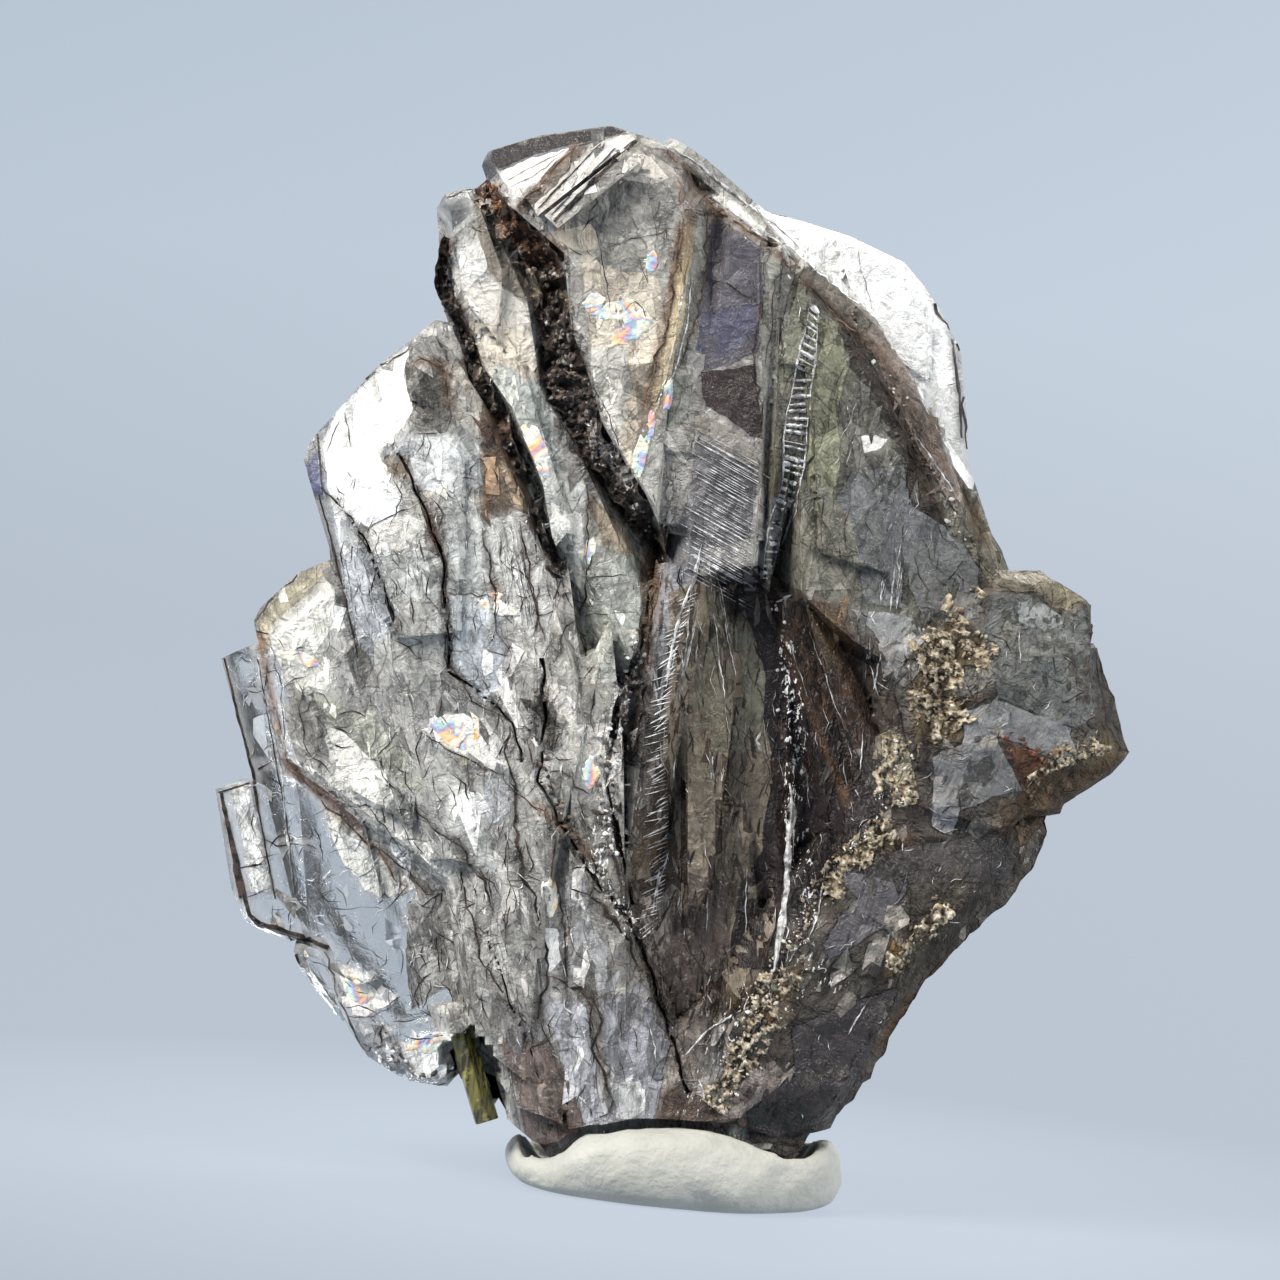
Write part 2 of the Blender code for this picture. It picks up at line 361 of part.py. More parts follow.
def make_blade(spec, holder, wedged=True):
    """Make one wedge-edged blade."""
    name, outline, front, back, slope, bevels = spec
    bm = plate(outline, front, back)
    bevel_edges(bm, outline, front, back, bevels)
    if wedged:
        bevel_edges(bm, outline, front, back, wedges_for_other_edges(outline, back - front, bevels))
    slope_faces(bm, outline, slope)
    return new_object(name, bm, holder)


def make_broken_mass(spec, rng, holder):
    """Make one broken lump of massive axinite."""
    name, outline, front, back, slope, chips, bite = spec
    bm = plate(outline, front, back)
    worn = [(edge, bite * rng.uniform(0.7, 2.2), bite * rng.uniform(0.8, 2.6)) for edge in range(len(outline))]
    bevel_edges(bm, outline, front, back, worn)
    slope_faces(bm, outline, slope)
    chip_surface(bm, rng, chips, bite)
    return new_object(name, bm, holder)


def make_groove(spec, holder):
    """Make a cutter for a fissure: straight walls in front, closing to a sharp floor at its depth."""
    name, points, depth = spec
    bm = bmesh.new()
    rings = []
    for index, (x, z, width) in enumerate(points):
        before = Vector(points[max(index - 1, 0)][:2])
        after = Vector(points[min(index + 1, len(points) - 1)][:2])
        along = (after - before).normalized()
        across = Vector((-along.y, along.x)) * width / 2
        centre = Vector((x, z))
        profile = [(centre - across, GROOVE_TOP), (centre + across, GROOVE_TOP), (centre + across * 0.8, depth - 0.6),
                   (centre + across * 0.15, depth), (centre - across * 0.8, depth - 0.6)]
        rings.append([bm.verts.new((spot.x * MM, y * MM, spot.y * MM)) for spot, y in profile])
    for ring, following in zip(rings, rings[1:]):
        for i in range(len(ring)):
            j = (i + 1) % len(ring)
            bm.faces.new((ring[i], ring[j], following[j], following[i]))
    bm.faces.new(rings[0])
    bm.faces.new(rings[-1])
    return new_object(name, bm, holder)


def hexagonal_prism(start, end, width):
    """Return a bmesh of a slightly flattened prism with six sides between two points in millimetres."""
    bm = bmesh.new()
    axis = (end - start).normalized()
    length = (end - start).length
    bmesh.ops.create_cone(bm, cap_ends=True, segments=6, radius1=width / 2 * MM, radius2=width / 2 * MM,
                          depth=length * MM)
    turn = axis.to_track_quat("Z", "Y").to_matrix().to_4x4()
    bmesh.ops.scale(bm, vec=(1.0, 0.8, 1.0), verts=bm.verts)
    bmesh.ops.transform(bm, matrix=turn, verts=bm.verts)
    bmesh.ops.translate(bm, vec=(start + end) / 2 * MM, verts=bm.verts)
    return bm


def add_boolean(piece, operation, name, operand):
    """Add an exact Boolean with one object or one collection."""
    modifier = piece.modifiers.new(name, "BOOLEAN")
    modifier.operation = operation
    modifier.solver = "EXACT"
    if isinstance(operand, bpy.types.Collection):
        modifier.operand_type = "COLLECTION"
        modifier.collection = operand
    else:
        modifier.object = operand
    return modifier


def move_to_hidden_collection(name, pieces):
    """Keep construction shapes in a collection that isn't rendered."""
    collection = bpy.data.collections.new(name)
    bpy.context.scene.collection.children.link(collection)
    collection.hide_render = True
    for piece in pieces:
        bpy.context.scene.collection.objects.unlink(piece)
        collection.objects.link(piece)
        piece.hide_render = True
        piece.display_type = "WIRE"
    return collection


def make_foot(name, grow, holder):
    """Make the cluster's foot, or the hollow that takes it when it is grown by a gap."""
    middle = Vector((sum(x for x, _ in FOOT_OUTLINE), sum(z for _, z in FOOT_OUTLINE))) / len(FOOT_OUTLINE)
    bm = plate(FOOT_OUTLINE, FOOT_FRONT, FOOT_BACK)
    bevel_edges(bm, FOOT_OUTLINE, FOOT_FRONT, FOOT_BACK, [(0, 0.8, 0.7), (4, 0.9, 0.8), (5, 0.6, 0.9), (6, 0.6, 0.9)])
    if grow:
        centre = Vector((middle.x, (FOOT_FRONT + FOOT_BACK) / 2, middle.y)) * MM
        for vert in bm.verts:
            offset = vert.co - centre
            for axis in range(3):
                offset[axis] += math.copysign(grow * 1.25 * MM, offset[axis])
            vert.co = centre + offset
    return new_object(name, bm, holder)


def make_cluster(holder):
    """Join the crystals and broken masses, trim them over the putty, add the foot and cut the fissures."""
    rng = random.Random(CHIP_SEED)
    crystals = [make_blade(spec, holder) for spec in FRONT_BLADES + BACK_BLADES]
    crystals += [make_blade(spec, holder, wedged=False) for spec in COLUMNS + GROWTH_STEPS]
    masses = [make_broken_mass(spec, rng, holder) for spec in BROKEN_MASSES]
    cluster = masses.pop(0)
    cluster.name = "axinite_cluster"
    add_boolean(cluster, "UNION", "grown together", move_to_hidden_collection("crystals", crystals + masses))
    weld = cluster.modifiers.new("close corners", "WELD")
    weld.merge_threshold = CORNER_MERGE
    clearance = new_object("putty_clearance", putty_lump(PUTTY_GAP))
    foot = make_foot("foot", 0.0, holder)
    move_to_hidden_collection("trim and foot", [clearance, foot])
    add_boolean(cluster, "DIFFERENCE", "clear of the putty", clearance)
    add_boolean(cluster, "UNION", "foot in the socket", foot)
    pocket_start = EPIDOTE_BASE - Vector((-0.2, 0, 0.6))
    pocket_width = EPIDOTE_WIDTH + 2 * EPIDOTE_POCKET_GAP
    pocket = new_object("epidote_pocket", hexagonal_prism(pocket_start, EPIDOTE_TOP, pocket_width), holder)
    grooves = [make_groove(spec, holder) for spec in FISSURES]
    cutters = move_to_hidden_collection("fissures and pocket", grooves + [pocket])
    add_boolean(cluster, "DIFFERENCE", "fissures and pocket", cutters)
    give_material(cluster, "axinite", (0.42, 0.42, 0.41), 0.15, 0.6)
    return cluster


def make_epidote(holder):
    """Make the small olive prism."""
    upper_end = EPIDOTE_TOP - (EPIDOTE_TOP - EPIDOTE_BASE).normalized() * EPIDOTE_POCKET_GAP
    prism = new_object("epidote_prism", hexagonal_prism(EPIDOTE_BASE, upper_end, EPIDOTE_WIDTH), holder)
    give_material(prism, "epidote", (0.05, 0.055, 0.012), 0.25)
    return prism


def putty_top_height(x):
    """Height of the pressed putty's upper side, which dips where the corners of the cluster push in."""
    if x <= PUTTY_TOP[0][0]:
        return PUTTY_TOP[0][1]
    for (x0, height0), (x1, height1) in zip(PUTTY_TOP, PUTTY_TOP[1:]):
        if x <= x1:
            share = (1 - math.cos(math.pi * (x - x0) / (x1 - x0))) / 2
            return height0 + share * (height1 - height0)
    return PUTTY_TOP[-1][1]


def putty_lump(grow):
    """Return a bmesh of the squashed lump with its flat bottom, grown by a clearance in millimetres."""
    bm = bmesh.new()
    levels = [(0.86, 0.0), (0.96, 0.12), (1.0, 0.35), (0.99, 0.62), (0.93, 0.84), (0.8, 0.97), (0.6, 1.0)]
    rings = []
    for reach, rise in levels:
        ring = []
        for side in range(PUTTY_SIDES):
            angle = 2 * math.pi * side / PUTTY_SIDES
            dent = 1 + 0.025 * math.sin(3 * angle + 0.6) + 0.018 * math.sin(5 * angle + 2.0 + 2 * rise)
            along_x = math.copysign(abs(math.cos(angle)) ** 0.8, math.cos(angle))
            along_y = math.copysign(abs(math.sin(angle)) ** 0.9, math.sin(angle))
            x = (PUTTY_WIDTH / 2 * dent + grow) * reach * along_x
            y = (PUTTY_DEPTH / 2 * dent + grow) * reach * along_y
            z = rise * (putty_top_height(x) + grow)
            ring.append(bm.verts.new((x * MM, y * MM, z * MM)))
        rings.append(ring)
    for ring, following in zip(rings, rings[1:]):
        for i in range(PUTTY_SIDES):
            j = (i + 1) % PUTTY_SIDES
            bm.faces.new((ring[i], ring[j], following[j], following[i]))
    bm.faces.new(rings[0])
    bm.faces.new(rings[-1])
    return bm


def make_putty(holder):
    """Make the putty with the socket that the cluster's foot stands in."""
    putty = new_object("mounting_putty", putty_lump(0.0))
    socket = make_foot("putty_socket", PUTTY_GAP, holder)
    move_to_hidden_collection("socket", [socket])
    add_boolean(putty, "DIFFERENCE", "socket for the foot", socket)
    give_material(putty, "putty", (0.62, 0.62, 0.58), 0.75)
    return putty


def main():
    for old in list(bpy.data.objects):
        bpy.data.objects.remove(old, do_unlink=True)
    holder = bpy.data.objects.new("cluster_frame", None)
    bpy.context.scene.collection.objects.link(holder)
    holder.rotation_euler = (0, LEAN, 0)
    holder.location = (CLUSTER_SHIFT, 0, PUTTY_UNDER_ORIGIN)
    make_cluster(holder)
    make_epidote(holder)
    make_putty(holder)


if __name__ == "__main__":
    main()
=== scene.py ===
"""Looks of an axinite crystal cluster standing on a lump of mounting putty.

Run as a script in Blender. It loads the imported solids, dresses each one by an operator of an add-on, and sets a
plain studio around them. Lengths are millimetres in the cluster's own frame, which leans a little to the left as
the putty holds it: the first number runs to the right, the second one up, and depth runs away from the front. A
trace writes the points of a path as text, in whole tenths or hundredths.
"""

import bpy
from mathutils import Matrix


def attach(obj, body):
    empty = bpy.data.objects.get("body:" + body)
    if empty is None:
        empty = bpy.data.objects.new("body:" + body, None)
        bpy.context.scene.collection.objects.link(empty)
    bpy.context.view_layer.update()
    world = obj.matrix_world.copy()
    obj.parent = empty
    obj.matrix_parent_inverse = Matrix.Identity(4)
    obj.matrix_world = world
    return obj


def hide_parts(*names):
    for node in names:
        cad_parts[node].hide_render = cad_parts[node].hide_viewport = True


bl_info = {
    "name": "Axinite Crystal Specimen",
    "version": (1, 0, 0),
    "blender": (4, 5, 0),
    "location": "View3D > Sidebar > Specimen",
    "description": "Dresses an axinite cluster, its epidote prism and its putty, and sets a plain studio",
    "category": "Object",
}

import math
import random
import re
from functools import partial

import bmesh
import bpy
import numpy as np
from mathutils import Matrix, Vector, noise
from mathutils.bvhtree import BVHTree

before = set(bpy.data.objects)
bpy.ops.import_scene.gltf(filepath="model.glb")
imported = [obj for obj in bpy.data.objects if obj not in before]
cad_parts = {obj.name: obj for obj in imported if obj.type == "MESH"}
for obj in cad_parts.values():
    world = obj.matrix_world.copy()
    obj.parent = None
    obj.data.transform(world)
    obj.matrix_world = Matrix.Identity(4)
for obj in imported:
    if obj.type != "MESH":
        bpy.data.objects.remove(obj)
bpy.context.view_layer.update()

MM = 0.001
LEAN = math.radians(5.5)          # how far the cluster's frame leans to the left
FRAME_SHIFT = -0.89               # where that frame's origin stands over the putty's flat bottom
FRAME_RISE = 0.39
IMAGE_FRAME_WIDTH = 40.0          # millimetres across the view at the cluster
VIEW_CENTRE = (0.0, 16.875)       # middle of the view, in the cluster's frame
FAN_ROOT = (-1.0, -16.0)          # the blades fan out from about here
FRONT, BACK = -1, 1               # which side of the fan a feature lies on
BACK_FACING = 0.35                # a facet belongs to the back where its normal points back more than this
MERGE_REACH = 2e-6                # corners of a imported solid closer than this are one


# ---- Places and paths ----

def place(across, up, depth=0.0):
    """Turn a place in the cluster's frame, in millimetres, into world metres."""
    x = across * math.cos(LEAN) - up * math.sin(LEAN) + FRAME_SHIFT
    z = across * math.sin(LEAN) + up * math.cos(LEAN) + FRAME_RISE
    return Vector((x, depth, z)) * MM


def in_cluster_frame(points):
    """Turn world metres, as rows, into the cluster's frame in millimetres: across, depth, up."""
    x = points[:, 0] / MM - FRAME_SHIFT
    z = points[:, 2] / MM - FRAME_RISE
    across = x * math.cos(LEAN) + z * math.sin(LEAN)
    up = -x * math.sin(LEAN) + z * math.cos(LEAN)
    return np.column_stack((across, points[:, 1] / MM, up))


def trace(text, columns=2, unit=10):
    """Return the points of a path written as whole parts of a millimetre: across, up, across, up and so on."""
    numbers = [int(number) / unit for number in text.split()]
    return list(zip(*[iter(numbers)] * columns))


def table(text):
    """Return the rows of a table, each of two words and a trace. Lines with a capital letter are headings."""
    rows = re.findall(r"^([#a-z]\S*) (\S+)((?:\s+-?\d+)+)", text, re.MULTILINE)
    return [(first, second, trace(points)) for first, second, points in rows]


def resampled(points, step):
    """Return places along a path of straight runs, about step apart."""
    places = []
    for start, end in zip(points, points[1:]):
        start, end = Vector(start), Vector(end)
        count = max(1, round((end - start).length / step))
        places += [start.lerp(end, i / count) for i in range(count)]
    return places + [Vector(points[-1])]


def across_path(places, i, reach=1):
    """Return the direction across a path at one of its places."""
    ahead = places[min(i + reach, len(places) - 1)] - places[max(i - reach, 0)]
    return Vector((-ahead.y, ahead.x)).normalized()


def seeded(spot, scale, seed):
    """Return where to read a noise for a flat spot."""
    return Vector((spot[0] * scale, spot[1] * scale, seed))


def jagged(points, step, swing, seed):
    """Return a path like a crack: short straight runs that wander about the one given."""
    places = resampled(points, step)
    wandered = []
    for i, spot in enumerate(places):
        swung = noise.noise(seeded(spot, 0.9, seed)) + 0.7 * noise.noise(seeded(spot, 4.5, seed + 9.5))
        wandered.append(spot + across_path(places, i) * swing * swung)
    return wandered


def distance_to_path(spots, path):
    """Distance of each spot, as rows of across and up, from a path of straight runs."""
    nearest = np.full(len(spots), np.inf)
    for start, end in zip(path, path[1:]):
        start, end = np.array(start), np.array(end)
        along = end - start
        share = np.clip(((spots - start) @ along) / max(along @ along, 1e-9), 0, 1)
        nearest = np.minimum(nearest, np.hypot(*(spots - start - share[:, None] * along).T))
    return nearest


def around(spots, points, margin):
    """True for each spot that lies in the points' box or within a margin of it."""
    return np.all((spots > np.min(points, axis=0) - margin) & (spots < np.max(points, axis=0) + margin), axis=1)


def depth_inside(spots, outline):
    """Distance of each spot from an outline, below zero outside it."""
    reach = distance_to_path(spots, outline + outline[:1])
    reach[~inside_outline(spots, outline)] *= -1
    return reach


def spots_inside(rng, outline, count):
    """Yield random spots inside an outline."""
    lows, highs = np.min(outline, axis=0), np.max(outline, axis=0)
    while count:
        spot = Vector((rng.uniform(lows[0], highs[0]), rng.uniform(lows[1], highs[1])))
        if inside_outline(np.array([spot]), outline)[0]:
            count -= 1
            yield spot


def inside_outline(spots, outline):
    """True for each spot, as rows of across and up, that lies inside the outline."""
    inside = np.zeros(len(spots), dtype=bool)
    for (x0, y0), (x1, y1) in zip(outline, outline[1:] + outline[:1]):
        if y0 == y1:
            continue
        crosses = (y0 > spots[:, 1]) != (y1 > spots[:, 1])
        inside ^= crosses & (spots[:, 0] < x0 + (spots[:, 1] - y0) * (x1 - x0) / (y1 - y0))
    return inside


# ---- Node helpers ----

def linear(hex_colour):
    """Turn an sRGB hex colour into a linear one with alpha."""
    channels = [int(hex_colour[i:i + 2], 16) / 255 for i in (1, 3, 5)]
    return tuple(c / 12.92 if c <= 0.04045 else ((c + 0.055) / 1.055) ** 2.4 for c in channels) + (1.0,)


def connect(tree, socket, value):
    """Link an input to another node's output, or give it a constant."""
    if isinstance(value, bpy.types.NodeSocket):
        tree.links.new(value, socket)
    else:
        socket.default_value = value


def add_node(tree, kind, *inputs, out=None, **settings):
    """Add a node with its settings, connect its inputs in order or by key, and return one of its outputs.

    A second word of its kind is its operation, or the data type of a mix.
    """
    kind, _, mode = kind.partition(" ")
    node = tree.nodes.new("ShaderNode" + kind)
    if mode:
        settings["data_type" if kind == "Mix" else "operation"] = mode
    for name, value in settings.items():
        setattr(node, name, value)
    for i, value in enumerate(inputs):
        for key, part in (value if isinstance(value, dict) else {i: value}).items():
            connect(tree, node.inputs[key], part)
    return node.outputs[out] if out else next(socket for socket in node.outputs if socket.enabled)


def finish_shader(tree, **inputs):
    """Connect inputs of the Principled shader, named with underscores for spaces."""
    for name, value in inputs.items():
        connect(tree, tree.nodes["Principled BSDF"].inputs[name.replace("_", " ")], value)


def new_material(name):
    """Return a new material, a function that adds a node to it and one that finishes its shader."""
    material = bpy.data.materials.new(name)
    material.use_nodes = True
    return material, partial(add_node, material.node_tree), partial(finish_shader, material.node_tree)


# ---- Crystal regions ----

# How each finish behaves: share of clear light, roughness, strength of veils and cracks, strength of striae
FINISHES = {
    "clear": (0.97, 0.02, 0.06, 0.05),
    "veiled": (0.3, 0.1, 0.75, 0.5),
    "polished": (0.06, 0.12, 0.3, 0.6),
    "matt": (0.0, 0.5, 0.8, 0.0),
    # The last finish is opaque and glossy, for facets painted white as the lamps' reflection in them
    "pearly": (0.0, 0.08, 0.06, 0.2),
}

RIGHT_FLANK = trace("38 300 64 280 114 200 96 160 39 184")

# What lies under the patches, chosen by where a facet's middle is: colour, finish, outline
GROUNDS = [
    ("#595552", "matt", trace("66 204 110 208 160 180 160 120 70 0 12 4 50 98 80 120")),
    ("#4A423D", "polished", trace("4 196 84 164 80 110 46 98 16 36 -3 80")),
    ("#7E7D76", "veiled", RIGHT_FLANK),
    # Painted reflection: the blade behind the right flank is painted white for the light it throws back
    ("#FDFDFD", "pearly", trace("46 304 76 304 114 270 114 210 92 220 60 280")),
    ("#B4B9BF", "clear", trace("-140 174 -114 174 -66 100 -66 24 -130 70")),
    ("#A9A8A4", "veiled", trace("-114 330 40 336 40 0 -114 0")),
]
BACK_GROUNDS = [
    ("#615D59", "matt", trace("60 200 160 200 160 0 10 0 34 90")),
    ("#85827C", "veiled", trace("24 336 140 336 140 190 50 100 14 200")),
    ("#B9BDC2", "clear", trace("-160 240 -84 240 -54 80 -54 20 -160 20")),
    ("#86817D", "veiled", trace("-60 60 50 60 50 0 -60 0")),
    ("#AFAEAA", "veiled", trace("-160 340 160 340 160 0 -160 0")),
]

# Brown iron stain that soaks in from the fissures behind: half width and path
BACK_STAIN_STRENGTH = 0.62        # below one the stain is patchy
BACK_STAINS = [
    (0.35, trace("16 300 24 250 16 190 44 130 34 60")),
    (0.25, trace("-50 246 -34 180 -42 90")),
    (0.5, trace("98 180 62 140 52 90")),
    (0.3, trace("-105 140 -86 96 -62 70")),
]

# Broken outer edges, chipped back towards a middle: path, reach and depth of the chips
CHIP_MIDDLE = (2.0, 14.0)
CHIPPED_EDGES = [
    (trace("132 120 123 114 102 84 84 56 70 30 62 16"), 1.3, 0.45),
]
LOBE_TIP = (15.3, 13.4)           # the lobe tapers to this point
TIP_REACH = 1.6
BROKEN_LOBE = trace("94 194 124 194 160 170 160 120 80 16 30 16 46 56 80 94")

PRISM_NICHE = trace("-61 43 -52 49 -45 42 -41 26 -42 15 -56 15")

# Shattered places that sparkle, where white specks are painted in as glints: strength, reach and path
SPARKLES = [
    (1.0, 0.35, trace("46 168 49 134 47 114")),
    (0.9, 0.45, trace("46 116 52 92 50 72 60 64")),
    (0.9, 0.3, trace("76 132 74 114 63 102")),
    (1.0, 0.4, trace("-6 154 -8 128 -14 102 -2 80")),
    (0.8, 0.7, trace("16 26 28 48 46 64")),
    (0.6, 0.6, trace("-80 54 -62 36 -54 34")),
    (0.6, 0.5, trace("-116 136 -98 148")),
    (0.5, 0.8, trace("-88 86 -62 106 -46 126")),
    (0.6, 0.4, trace("9 312 26 306 50 276")),
    (0.6, 0.3, trace("-30 288 -22 264 -12 234")),
]

# Places painted darker or lighter as a whole: share of each colour kept, outline. The first, the hollow in
# the middle, is painted shade; those above one are painted light, brightening places that the lamps leave
# dark; the rest scale the crystal's colour down
TONE_SHADE_AND_LIGHT = [
    ((0.42, 0.37, 0.34), trace("4 188 30 192 46 186 70 166 80 130 74 108 54 86 30 52 16 30 4 40 -4 86 2 140")),
    ((1.12, 1.1, 1.1), trace("21 306 40 298 41 230 39 188 12 188 16 240")),
    ((0.62, 0.62, 0.58), trace("41 292 62 280 94 226 110 192 90 168 60 174 40 190")),
    ((0.86, 0.83, 0.78), trace("86 174 110 194 154 174 154 130 74 20 20 20 34 56 62 94 82 130")),
    ((1.5, 1.48, 1.46), trace("-34 184 -6 180 -6 126 -26 126")),
    ((1.55, 1.5, 1.4), trace("-53 266 -39 268 -34 238 -48 236")),
    ((0.72, 0.7, 0.72), trace("78 136 104 136 104 94 78 98")),
    ((0.7, 0.68, 0.7), trace("22 52 50 52 50 24 22 24")),
    ((0.82, 0.8, 0.78), trace("-28 114 -2 114 -2 90 12 30 -16 26 -26 90")),
]
